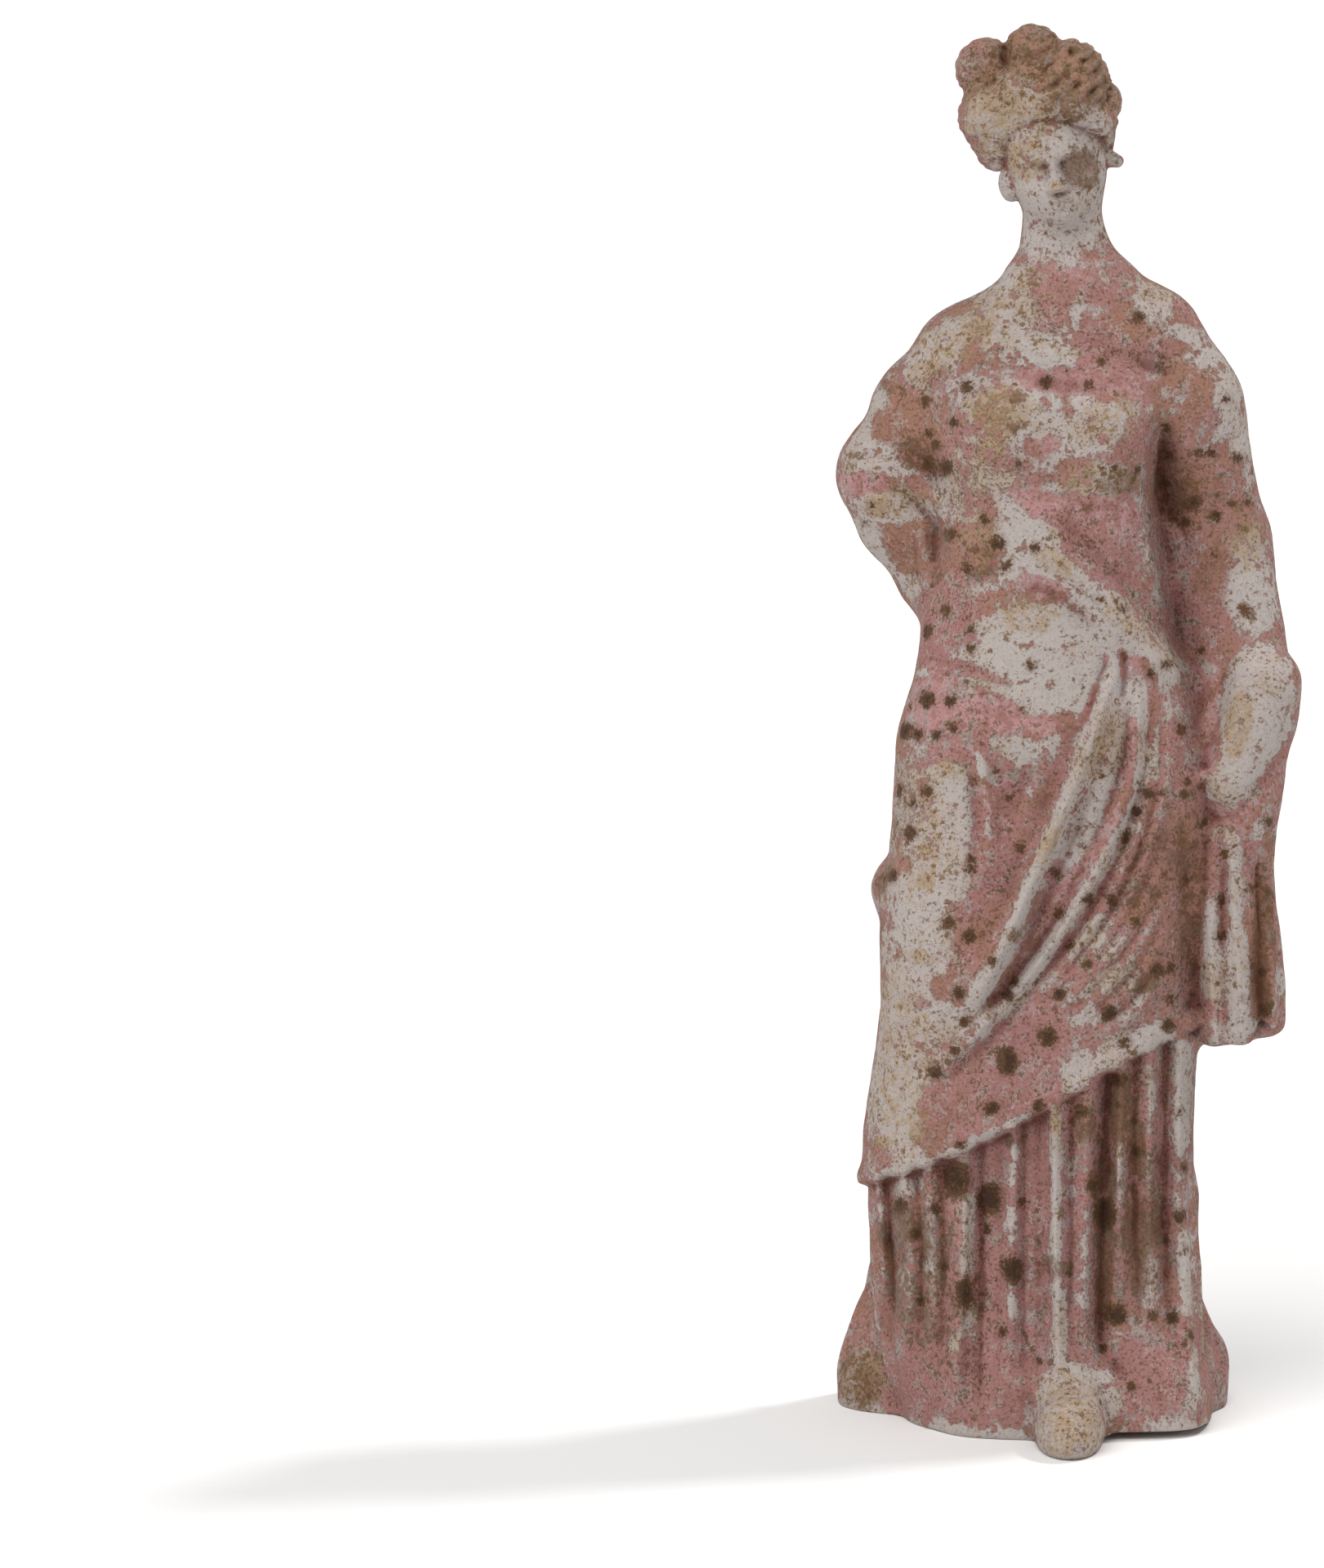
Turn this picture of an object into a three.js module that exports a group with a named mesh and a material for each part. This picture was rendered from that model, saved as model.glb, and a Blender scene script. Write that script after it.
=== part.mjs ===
// Terracotta figurine of a standing draped woman, in millimetres.
// +Z is up, the front faces -Y, and the origin is the centre of the underside.
// The form is a field of rounded masses blended together, negative inside the clay.
// Folds are strokes raised or sunk on it, laid out on an upright drawing plane at y = 0,
// as an eye in front of the figure sees them.
import * as THREE from "three";

const { smoothstep, lerp, clamp } = THREE.MathUtils;

// Where the eye that the strokes are laid out for stands
const EYE_DISTANCE = 1000;
const EYE_HEIGHT = 230;

// Driving heights
const NECK_LOW = 183;
const NECK_HIGH = 199;
const SHOULDER_HEIGHT = 168;
const ELBOW_HEIGHT = 148.2;
const FALL_LOW = 60.8;
const FALL_HIGH = 112;
const HEM_RISE = 1.2;
const CLOAK_THICKNESS = 1.5;

// Robed body: height, left, right, front and back of the section
const BODY_POWER = 2.25;
const BODY_ROWS = [
  [-2, -25.5, 22.5, -20.3, 18.5],
  [12, -29.4, 21.0, -19.5, 17.0],
  [28, -30.6, 20.3, -18.8, 16.0],
  [45, -30.3, 19.8, -18.5, 15.5],
  [60, -27.9, 20.5, -18.5, 15.5],
  [80, -25.4, 23.0, -19.0, 16.0],
  [98, -24.8, 24.0, -19.0, 17.0],
  [112, -23.3, 21.0, -18.5, 15.5],
  [128, -22.2, 15.5, -16.5, 13.0],
  [145, -19.5, 14.0, -16.0, 12.5],
  [157, -20.0, 15.0, -15.5, 12.5],
  [166, -18.6, 15.5, -12.8, 11.5],
  [173, -14.8, 14.5, -10.0, 10.0],
  [180, -9.6, 10.6, -8.0, 8.5],
  [184, -7.3, 6.8, -6.0, 7.2],
  [189, -6.8, 5.2, -5.2, 6.5],
  [205, -6.6, 4.8, -4.0, 6.0],
];

// Fall of cloth below the hanging hand, same columns
const FALL_POWER = 2.8;
const FALL_ROWS = [
  [50, 21.0, 32.0, -12.5, 8.0],
  [66, 19.2, 33.4, -13.2, 9.0],
  [88, 20.0, 31.6, -12.6, 7.2],
  [106, 22.0, 34.0, -11.2, 5.0],
  [120, 22.0, 33.0, -9.0, 3.0],
];

// Hem spreading on the ground behind, same columns
const SPREAD_HIGH = 34;
const SPREAD_POWER = 2.6;
const SPREAD_ROWS = [
  [-2, -36.4, 25.2, -6.0, 18.8],
  [4, -36.6, 25.4, -6.0, 18.8],
  [9, -35.4, 24.6, -4.5, 18.4],
  [14, -33.6, 22.2, -2.0, 17.5],
  [22, -31.2, 19.5, 3.0, 16.0],
  [36, -28.6, 18.0, 4.0, 13.6],
];

// Hem standing squarer on the ground in front, same columns
const FRONT_HIGH = 24;
const FRONT_POWER = 4;
const FRONT_ROWS = [
  [-2, -19.8, 22.4, -20.6, 6.0],
  [5, -20.2, 21.8, -19.8, 6.0],
  [14, -21.0, 19.4, -17.4, 5.0],
  [26, -22.0, 17.6, -14.0, 4.0],
];

// Head: centre, and the directions of its crown and of its face
const HEAD_CENTRE = [-1.9, -1.4, 197.6];
const CROWN = new THREE.Vector3(-0.2, -0.13, 0.97).normalize();
const FORWARD = new THREE.Vector3(-0.03, -0.99, -0.12).projectOnPlane(CROWN).normalize();
const SIDEWAYS = new THREE.Vector3().crossVectors(FORWARD, CROWN);

// Drawing plane
const GRID_STEP = 0.5;
const GRID_LEFT = -42;
const GRID_RIGHT = 42;
const GRID_LOW = -10;
const GRID_HIGH = 226;

// Lower edge of the cloak on the drawing plane, left to right
const HEM_LINE = [[-36, 35.5], [-24, 38.6], [-10, 44.6], [3, 52.0], [14, 58.8], [26, 64]];
// The three leading folds that sweep from the gathered knot down to the hem
const CREST = [[7.8, 121], [3.1, 105], [-4.2, 88], [-11.4, 71], [-16, 63.5]];
const SECOND = [[11.2, 117], [10.4, 102], [5.2, 87.5], [-1.5, 75.8], [-13, 61.4]];
const THIRD = [[14.6, 116], [14.0, 99.5], [9.0, 84], [2.2, 73], [-8, 62]];
const FAN_COUNT = 4;

// Upright pleats on the sides of the fall of cloth and of the tunic
const FALL_PLEAT_HEIGHT = 0.6;
const FALL_PLEAT_PITCH = 6.8;
const TUNIC_PLEAT_HEIGHT = 0.5;
const TUNIC_PLEAT_PITCH = 6.0;

// Tunic pleats: x at the cloak's hem, half way and on the ground, height, width, lean,
// lowest v and the share of the length that fades out below
const TUNIC_PLEATS = [
  [-29.8, -29.6, -31.5, 0.8, 1.2, 0, 4, 0.4],
  [-28.4, -27.2, -29.4, -1.2, 1.3, 0, 6, 0.3],
  [-26.0, -24.8, -26.8, 1.0, 1.3, 0, 6, 0.4],
  [-23.9, -22.8, -24.2, -0.7, 1.1, 0, 4, 0.4],
  [-22.0, -21.2, -22.0, 0.8, 1.1, 0, 2, 0.4],
  [-19.8, -19.4, -20.4, -0.8, 1.1, 0, 2, 0.3],
  [-16.0, -16.6, -18.0, 1.9, 1.8, -0.35, -3, 0.25],
  [-13.4, -13.5, -13.8, -1.0, 1.0, 0, -3, 0.2],
  [-11.2, -11.4, -11.6, -0.9, 2.2, 0, 0, 0.3],
  [-8.3, -8.9, -9.4, 1.1, 1.1, 0, 2, 0.4],
  [-6.8, -6.8, -7.0, -0.9, 0.9, 0, 2, 0.3],
  [-4.9, -4.8, -5.0, -1.1, 1.6, 0, 4, 0.3],
  [-2.1, -1.9, -1.2, 2.3, 1.4, 0.25, 4, 0.05],
  [0.6, 0.6, 0.4, -0.5, 0.8, 0, 12, 0.3],
  [3.6, 2.8, 2.2, 1.3, 1.6, 0, 10, 0.2],
  [6.4, 5.4, 5.0, -2.6, 1.5, 0, 5, 0.25],
  [8.6, 8.0, 9.0, 1.2, 1.0, 0, 12, 0.5],
  [10.6, 10.5, 11.5, -0.9, 1.1, 0, 8, 0.5],
  [13.1, 12.9, 14.0, 1.1, 1.1, 0, 8, 0.5],
  [15.3, 15.2, 16.5, -1.1, 1.2, 0, 2, 0.5],
  [17.8, 18.0, 20.6, 1.7, 1.5, 0, -2, 0.15],
];

// Mesh density: columns round the body and round the head, and the share at the front
const BODY_COLUMNS = 70;
const HEAD_COLUMNS = 43;
const FRONT_SHARE = 0.66;
const SEARCH_RADIUS = 48;
const SEARCH_STEP = 0.6;

// Blends of two distances

function join(a, b, k) {
  const h = Math.max(k - Math.abs(a - b), 0) / k;
  return Math.min(a, b) - h * h * k * 0.25;
}

function carve(a, b, k) {
  return -join(-a, -b, k);
}

// Rounded ball with three radii
function ball(x, y, z, centre, radii) {
  const qx = (x - centre[0]) / radii[0];
  const qy = (y - centre[1]) / radii[1];
  const qz = (z - centre[2]) / radii[2];
  const k0 = Math.hypot(qx, qy, qz) + 1e-9;
  const k1 = Math.hypot(qx / radii[0], qy / radii[1], qz / radii[2]) + 1e-9;
  return (k0 * (k0 - 1)) / k1;
}

// Tapered bar with round ends
function bar(x, y, z, from, to, fromRadius, toRadius) {
  const dx = to[0] - from[0];
  const dy = to[1] - from[1];
  const dz = to[2] - from[2];
  const along = (x - from[0]) * dx + (y - from[1]) * dy + (z - from[2]) * dz;
  const t = clamp(along / (dx * dx + dy * dy + dz * dz), 0, 1);
  const away = Math.hypot(x - from[0] - t * dx, y - from[1] - t * dy, z - from[2] - t * dz);
  return away - lerp(fromRadius, toRadius, t);
}

// Upright loft: rounded sections interpolated between the rows by a monotone cubic
function loft(rows, power) {
  const step = 0.5;
  const first = rows[0][0];
  const last = rows.length - 1;
  const slopes = rows.map((row, i) => row.map((value, c) => {
    const before = i > 0 ? (value - rows[i - 1][c]) / (row[0] - rows[i - 1][0]) : 0;
    const after = i < last ? (rows[i + 1][c] - value) / (rows[i + 1][0] - row[0]) : 0;
    if (i === 0) return after;
    if (i === last) return before;
    return before * after > 0 ? (2 * before * after) / (before + after) : 0;
  }));
  const table = [];
  let i = 0;
  for (let z = first; z <= rows[last][0] + 1e-6; z += step) {
    while (i < last - 1 && z >= rows[i + 1][0]) i += 1;
    const h = rows[i + 1][0] - rows[i][0];
    const t = (z - rows[i][0]) / h;
    const a = (2 * t - 3) * t * t + 1;
    const b = ((t - 2) * t + 1) * t * h;
    const c = (3 - 2 * t) * t * t;
    const d = (t - 1) * t * t * h;
    table.push([1, 2, 3, 4].map((n) =>
      a * rows[i][n] + b * slopes[i][n] + c * rows[i + 1][n] + d * slopes[i + 1][n]));
  }
  return (x, y, z) => {
    const f = clamp((z - first) / step, 0, table.length - 1.001);
    const low = table[Math.floor(f)];
    const high = table[Math.floor(f) + 1];
    const t = f - Math.floor(f);
    const left = lerp(low[0], high[0], t);
    const right = lerp(low[1], high[1], t);
    const front = lerp(low[2], high[2], t);
    const back = lerp(low[3], high[3], t);
    const halfWidth = (right - left) / 2;
    const halfDepth = (back - front) / 2;
    const u = Math.abs(x - (left + right) / 2) / halfWidth + 1e-9;
    const w = Math.abs(y - (front + back) / 2) / halfDepth + 1e-9;
    const k = Math.pow(Math.pow(u, power) + Math.pow(w, power), 1 / power);
    const gx = Math.pow(u / k, power - 1) / halfWidth;
    const gy = Math.pow(w / k, power - 1) / halfDepth;
    return (k - 1) / Math.hypot(gx, gy);
  };
}

const robe = loft(BODY_ROWS, BODY_POWER);
const hangingCloth = loft(FALL_ROWS, FALL_POWER);
const spreadingHem = loft(SPREAD_ROWS, SPREAD_POWER);
const frontHem = loft(FRONT_ROWS, FRONT_POWER);

// Bent arm under the cloak, its hand behind the hip
function bentArm(x, y, z) {
  const elbow = [-26.5, 5, ELBOW_HEIGHT];
  const upper = bar(x, y, z, [-15, 2, SHOULDER_HEIGHT - 2.4], elbow, 9.2, 9.0);
  const lower = bar(x, y, z, elbow, [-17.8, 8, 134.2], 9.0, 9.8);
  const sleeve = ball(x, y, z, [-22, 3, 158.5], [8.3, 8.3, 8.3]);
  const forearm = ball(x, y, z, [-25.2, 6.5, 141.5], [7.9, 7.9, 7.9]);
  return join(join(join(upper, sleeve, 2), lower, 2), forearm, 2);
}

// Arm hanging at the side, wrapped in the cloak, and the cloth between it and the waist
function hangingArm(x, y, z) {
  const shoulder = [12.5, 2, SHOULDER_HEIGHT + 0.8];
  const upperArm = [17.5, 2, 158.5];
  const elbow = [22.6, 4, 137];
  const wrist = [28.8, -4, 112];
  let d = bar(x, y, z, shoulder, upperArm, 8.6, 9.3);
  d = join(d, bar(x, y, z, upperArm, elbow, 9.3, 8.6), 3);
  d = join(d, bar(x, y, z, elbow, wrist, 8.6, 7.0), 3);
  return join(d, bar(x, y, z, [18, 5, 140], [21.5, 4.5, 112], 4.5, 4.5), 3);
}

function wrappedHand(x, y, z) {
  return bar(x, y, z, [29.8, -7.5, 116], [24.6, -9.5, 101.5], 6.2, 4.6);
}

function fallOfCloth(x, y, z) {
  const lowEdge = FALL_LOW - z + 0.12 * (x - 26);
  return carve(carve(hangingCloth(x, y, z), lowEdge, 2), z - FALL_HIGH, 4);
}

// Breasts, belly, and the thigh and knee that push the cloak forward
function bodyUnderCloth(x, y, z, d) {
  d = join(d, ball(x, y, z, [-10, -8.5, 156], [7.5, 8.3, 7.5]), 7);
  d = join(d, ball(x, y, z, [5.5, -8, 155.5], [6.5, 8.3, 7]), 7);
  d = join(d, ball(x, y, z, [-5, -6, 117], [14, 12.6, 16]), 8);
  const knee = [-15.6, -11, 78];
  d = join(d, bar(x, y, z, [-15.0, -8, 106], knee, 11, 9.5), 7);
  d = join(d, bar(x, y, z, knee, [-19, -7, 36], 9.5, 8), 7);
  return join(d, ball(x, y, z, [-25.9, -2, 84], [3.2, 5, 3.6]), 3.5);
}

// Foot coming out from under the hem
function foot(x, y, z) {
  const instep = bar(x, y, z, [-0.5, -12, 16], [-0.4, -19, 8.5], 4.0, 5.0);
  const toes = ball(x, y, z, [0.3, -23, 2.8], [5.6, 12.2, 6.0]);
  return join(instep, toes, 3);
}

function body(x, y, z) {
  let d = robe(x, y, z);
  d = join(d, bentArm(x, y, z), 6);
  d = join(d, hangingArm(x, y, z), 4);
  d = join(d, wrappedHand(x, y, z), 3);
  d = join(d, fallOfCloth(x, y, z), 3);
  d = join(d, carve(spreadingHem(x, y, z), z - SPREAD_HIGH, 3), 2.5);
  d = join(d, carve(frontHem(x, y, z), z - FRONT_HIGH, 3), 2);
  return bodyUnderCloth(x, y, z, d);
}

// Small raised or sunk patches of the face, in the head's own directions

function patch(a, b, height, centreA, centreB, spreadA, spreadB) {
  return height * Math.exp(-(((a - centreA) / spreadA) ** 2) - ((b - centreB) / spreadB) ** 2);
}

function arch(a, b, height, centreA, centreB, halfWidth, rise, thickness) {
  const t = clamp((a - centreA) / halfWidth, -1, 1);
  const beyond = Math.max(Math.abs(a - centreA) - halfWidth, 0) / thickness;
  const off = (b - centreB - rise * (1 - t * t)) / thickness;
  return height * Math.exp(-off * off - beyond * beyond);
}

// Calm, even face: brow, eyes, cheeks, nose, lips and chin, the same on both sides
function features(side, up) {
  let r = arch(side, up, 0.28, 2.8, 1.1, 2.9, 0.55, 0.9);
  r -= patch(side, up, 0.95, 2.9, -0.65, 2.0, 1.25);
  r -= patch(side, up, 0.5, 1.2, -0.5, 0.8, 1.2);
  r += patch(side, up, 0.55, 3.0, -0.8, 1.4, 0.75);
  r += arch(side, up, 0.15, 3.0, -0.7, 1.6, 0.62, 0.32);
  r += arch(side, up, 0.1, 3.0, -1.05, 1.5, -0.42, 0.32);
  r += patch(side, up, 0.4, 4.2, -3.4, 2.4, 2.0);
  const t = clamp((1.8 - up) / 5.2, 0, 1);
  const noseEnds = smoothstep(up, -4.5, -3.3) * (1 - smoothstep(up, 0.8, 3.8));
  const noseHeight = 0.6 + 1.65 * t * t * (1.5 - 0.5 * t);
  r += noseHeight * Math.exp(-((side / (0.85 + 0.42 * t)) ** 2)) * noseEnds;
  r += patch(side, up, 0.5, 1.2, -3.45, 0.65, 0.6);
  r += patch(side, up, 0.5, 0, -5.7, 2.7, 1.6);
  r += patch(side, up, 0.36, 0.6, -5.3, 1.2, 0.48);
  r -= arch(side, up, 0.36, 0, -5.76, 1.75, -0.1, 0.28);
  r += patch(side, up, 0.4, 0, -6.3, 1.35, 0.48);
  r -= patch(side, up, 0.28, 0, -7.1, 1.4, 0.5);
  r += patch(side, up, 0.55, 0, -8.2, 1.8, 1.1);
  return r;
}

function face(x, y, z) {
  const px = x - HEAD_CENTRE[0];
  const py = y - HEAD_CENTRE[1];
  const pz = z - HEAD_CENTRE[2];
  const across = px * SIDEWAYS.x + py * SIDEWAYS.y + pz * SIDEWAYS.z;
  const inward = -(px * FORWARD.x + py * FORWARD.y + pz * FORWARD.z);
  const up = px * CROWN.x + py * CROWN.y + pz * CROWN.z;
  let d = ball(across, inward, up, [0, 1.2, 1.8], [7.9, 9.2, 9.6]);
  d = join(d, ball(across, inward, up, [0, -0.6, -2.2], [7.3, 7.6, 7.6]), 2);
  d = join(d, ball(across, inward, up, [0, -4.0, -6.8], [3.8, 3.8, 2.8]), 3.5);
  return d - features(Math.abs(across), up) * (1 - smoothstep(inward, -5, -1));
}

// Hair combed back, rolled beside the brow and tied on top in two loops
function hair(x, y, z) {
  let d = ball(x, y, z, [-3.9, 2.4, 206], [10.6, 11.2, 9.6]);
  d = carve(d, -((y + 1) * 0.62 + (z - 201.2) * 0.78), 1.5);
  d = join(d, ball(x, y, z, [-4, 10, 204], [6.5, 5.6, 6]), 2);
  const lock = (z - 208.5 - 0.55 * (x + 2) - 0.25 * (y + 6)) / 2.35;
  const wave = 0.36 * (Math.abs(Math.cos(Math.PI * lock)) - 0.6) * smoothstep(x, -9.5, -5.5);
  d = join(d, ball(x, y, z, [0.2, -2.4, 208.0], [6.4, 6.9, 7.6]) - wave, 1);
  const templeLeft = [-11, -2.6, 200.4];
  const browLeft = [-5.6, -8.2, 205];
  const browRight = [0.8, -9, 205.6];
  const templeRight = [5.2, -6, 202.8];
  let frame = bar(x, y, z, templeLeft, browLeft, 2.1, 1.6);
  frame = join(frame, bar(x, y, z, browLeft, browRight, 1.6, 1.5), 1);
  frame = join(frame, bar(x, y, z, browRight, templeRight, 1.5, 1.7), 1);
  d = join(d, frame, 3.2);
  d = join(d, bar(x, y, z, [5.8, -3.2, 203], [5.5, 0, 198.8], 2.0, 1.5), 1.2);
  d = join(d, ball(x, y, z, [5.7, -0.2, 205.7], [2.7, 4.4, 3.4]), 0.7);
  d = join(d, ball(x, y, z, [-11.9, -0.8, 203.7], [5, 6, 5]), 1.5);
  d = join(d, ball(x, y, z, [-10.6, 0.2, 199.4], [3.6, 4.6, 4.2]), 2);
  d = join(d, bar(x, y, z, [-12.4, 0.6, 211.0], [-12, 0.6, 210.2], 4.8, 4.7), 0.8);
  return join(d, bar(x, y, z, [-5.2, -0.6, 213.2], [-5.4, -1, 209.5], 4.7, 5.2), 0.6);
}

function earrings(x, y, z) {
  const leftDrop = ball(x, y, z, [-8.6, -2, 193.6], [2, 2, 2.9]);
  const rightDrop = bar(x, y, z, [5, -1, 197.6], [7.7, -1.5, 196.8], 1.9, 1);
  return Math.min(leftDrop, rightDrop);
}

function head(x, y, z) {
  return join(join(face(x, y, z), hair(x, y, z), 0.5), earrings(x, y, z), 0.6);
}

// Masses without their folds
function smoothForm(x, y, z) {
  if (z >= NECK_HIGH) return head(x, y, z);
  const below = Math.max(body(x, y, z), z - NECK_HIGH + 1);
  return z <= NECK_LOW ? below : join(below, head(x, y, z), 1.8);
}

// Stroke grid: height of the folds over the drawing plane
const columns = Math.round((GRID_RIGHT - GRID_LEFT) / GRID_STEP) + 1;
const lines = Math.round((GRID_HIGH - GRID_LOW) / GRID_STEP) + 1;

function strokePath(points) {
  const knots = points.map(([u, v]) => new THREE.Vector2(u, v));
  return new THREE.SplineCurve(knots).getPoints(8 * (points.length - 1));
}

// Adds one fold to a grid; lean widens one side of it, and the fades are shares of its length
function fold(grid, points, height, width, lean, power, fadeIn, fadeOut) {
  const path = strokePath(points);
  const reach = width * 3;
  const us = path.map((p) => p.x);
  const vs = path.map((p) => p.y);
  const columnLow = Math.max(0, Math.ceil((Math.min(...us) - reach - GRID_LEFT) / GRID_STEP));
  const columnHigh = Math.min(columns - 1, (Math.max(...us) + reach - GRID_LEFT) / GRID_STEP);
  const lineLow = Math.max(0, Math.ceil((Math.min(...vs) - reach - GRID_LOW) / GRID_STEP));
  const lineHigh = Math.min(lines - 1, (Math.max(...vs) + reach - GRID_LOW) / GRID_STEP);
  const starts = [0];
  for (let k = 1; k < path.length; k += 1) starts.push(starts[k - 1] + path[k].distanceTo(path[k - 1]));
  const total = starts[path.length - 1];
  for (let line = lineLow; line <= lineHigh; line += 1) {
    for (let column = columnLow; column <= columnHigh; column += 1) {
      const u = GRID_LEFT + column * GRID_STEP;
      const v = GRID_LOW + line * GRID_STEP;
      let best = Infinity;
      let share = 0;
      let side = 0;
      for (let k = 0; k < path.length - 1; k += 1) {
        const du = path[k + 1].x - path[k].x;
        const dv = path[k + 1].y - path[k].y;
        const pu = u - path[k].x;
        const pv = v - path[k].y;
        const t = clamp((pu * du + pv * dv) / (du * du + dv * dv + 1e-12), 0, 1);
        const away = Math.hypot(pu - t * du, pv - t * dv);
        if (away < best) {
          best = away;
          share = lerp(starts[k], starts[k + 1], t) / total;
          side = Math.sign(du * pv - dv * pu);
        }
      }
      let ends = 1;
      if (fadeIn > 0) ends *= smoothstep(share, 0, fadeIn);
      if (fadeOut > 0) ends *= smoothstep(1 - share, 0, fadeOut);
      const spread = best / (width * (1 + lean * side));
      grid[line * columns + column] += height * Math.exp(-Math.pow(spread, power)) * ends;
    }
  }
}

// Line part of the way from one stroke to another
function between(from, to, share) {
  return from.map((p, k) => [lerp(p[0], to[k][0], share), lerp(p[1], to[k][1], share)]);
}

const hemPath = strokePath(HEM_LINE);

function hemAt(u) {
  let k = 0;
  while (k < hemPath.length - 2 && u > hemPath[k + 1].x) k += 1;
  const t = clamp((u - hemPath[k].x) / (hemPath[k + 1].x - hemPath[k].x), 0, 1);
  return lerp(hemPath[k].y, hemPath[k + 1].y, t);
}

function sweepFolds(grid) {
  const tailLow = [-23.5, 51.4];
  fold(grid, CREST, 2.4, 2.1, -0.25, 1.8, 0.2, 0.12);
  fold(grid, between(CREST, SECOND, 0.42).slice(1), -1.7, 1.9, 0.3, 2, 0.35, 0.12);
  fold(grid, between(CREST, SECOND, -0.3).slice(0, 4), -0.7, 1.6, 0, 2, 0.3, 0.4);
  fold(grid, [[6.6, 120.5], [4.4, 114], [1.2, 105]], -0.7, 0.9, 0, 2, 0.15, 0.5);
  fold(grid, [[8.9, 121.2], [8.9, 117], [8.3, 112]], -0.7, 0.7, 0, 2, 0.15, 0.4);
  fold(grid, between(CREST, SECOND, 0.72), -0.9, 0.9, 0, 2, 0.25, 0.2);
  fold(grid, [...SECOND, tailLow], 1.7, 1.5, 0, 1.8, 0.1, 0.12);
  fold(grid, [...between(SECOND, THIRD, 0.4), [-22, 50]], -1.2, 1.5, 0, 2, 0.15, 0.15);
  fold(grid, between(SECOND, THIRD, 0.72), 0.9, 1.0, 0, 2, 0.3, 0.25);
  fold(grid, THIRD, -0.6, 1.1, 0, 2, 0.2, 0.3);
  fold(grid, between(SECOND, THIRD, 1.28), 1.0, 1.1, 0, 2, 0.25, 0.3);
  for (let k = 0; k < FAN_COUNT; k += 1) {
    const t = k / (FAN_COUNT - 1);
    const top = [17.4, 92 - 17 * t];
    const end = [-4.5 + 7 * t, 60.5 - 1.5 * t];
    const upper = [lerp(top[0], end[0], 0.38) + 0.8, lerp(top[1], end[1], 0.38) - 2.6];
    const lower = [lerp(top[0], end[0], 0.7) + 0.5, lerp(top[1], end[1], 0.7) - 2.0];
    fold(grid, [top, upper, lower, end], 1.0 - 0.1 * t, 1.0, 0, 2, 0.35, 0.3);
  }
}

function waistFolds(grid) {
  fold(grid, [[-9, 140.5], [3.5, 131.8], [18.5, 114]], 1.6, 2.6, 0.15, 2.4, 0.3, 0.2);
  fold(grid, [[-9, 131.5], [-1.5, 129.2], [6.6, 122]], -1.0, 1.4, 0, 2, 0.25, 0.4);
  fold(grid, [[-6.5, 146.5], [5.8, 134.8], [20, 115]], -0.7, 1.8, 0, 2, 0.3, 0.3);
  fold(grid, [[-24.5, 120.5], [-15, 118], [-6.5, 115]], -0.5, 1.2, 0, 2, 0.2, 0.4);
  fold(grid, [[-24, 109], [-14, 111.6], [-2, 108.6]], -0.6, 1.9, 0, 2, 0.3, 0.3);
  fold(grid, [[-1.8, 111], [-4.8, 100], [-9, 88]], 0.5, 1.2, 0, 2, 0.2, 0.5);
  fold(grid, [[-14, 107], [-12.3, 96], [-12.6, 84]], 0.7, 1.1, 0, 2, 0.25, 0.5);
  fold(grid, [[-16, 106], [-14.5, 94], [-15, 82]], -0.6, 1.0, 0, 2, 0.2, 0.5);
}

function kneeFolds(grid) {
  fold(grid, [[-6, 108], [-9, 91], [-18, 67]], -1.3, 4.4, 0, 2, 0.3, 0.3);
  fold(grid, [[-31, 84.5], [-28, 84.5], [-25, 86.5]], 0.8, 2.0, 0, 2, 0, 0.5);
  fold(grid, [[-31, 62.5], [-26, 62.5], [-20, 59]], 0.6, 2.0, 0, 2, 0, 0.5);
  fold(grid, [[-31.5, 54], [-25, 54], [-17, 57]], -0.4, 1.9, 0, 2, 0.1, 0.5);
  fold(grid, [[-28.5, 77], [-24, 70], [-18, 66]], -0.4, 2.0, 0, 2, 0.3, 0.5);
}

function chestFolds(grid) {
  fold(grid, [[-16, 171], [0, 166.2], [14, 161.2]], 0.55, 1.5, 0, 2, 0.3, 0.25);
  fold(grid, [[-20, 165], [-2, 162.7], [13.5, 158.8]], -0.5, 1.5, 0, 2, 0.3, 0.2);
  fold(grid, [[-3, 178], [6, 171.8], [17, 166]], 0.45, 1.5, 0, 2, 0.3, 0.3);
  fold(grid, [[-1, 172], [8, 167], [19, 163]], -0.45, 1.4, 0, 2, 0.3, 0.3);
  fold(grid, [[11.5, 179], [18.2, 171.4], [22, 161.5]], 0.5, 1.4, 0, 2, 0.1, 0.35);
  fold(grid, [[17, 176.5], [23.5, 167], [27.6, 156]], 0.6, 1.4, 0, 2, 0.1, 0.3);
  fold(grid, [[30, 154], [26.5, 151], [23, 146]], 0.5, 1.5, 0, 2, 0, 0.5);
}

// Deep hollow between the torso and the hanging arm, and the edges beside it
function armpitFolds(grid) {
  fold(grid, [[14.2, 158.5], [15.6, 146.5], [19.5, 131]], -2.6, 3.1, -0.35, 2, 0.25, 0.45);
  fold(grid, [[19.5, 154], [20.7, 134], [20.4, 114]], -1.3, 4.0, 0, 2, 0.3, 0.3);
  fold(grid, [[12.2, 157.5], [11.9, 141], [15.5, 125]], 0.9, 1.5, 0, 2, 0.3, 0.3);
  fold(grid, [[13.6, 142.8], [16, 139.8], [17.4, 136.4]], 0.7, 1.1, 0, 2, 0.3, 0.3);
}

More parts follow.
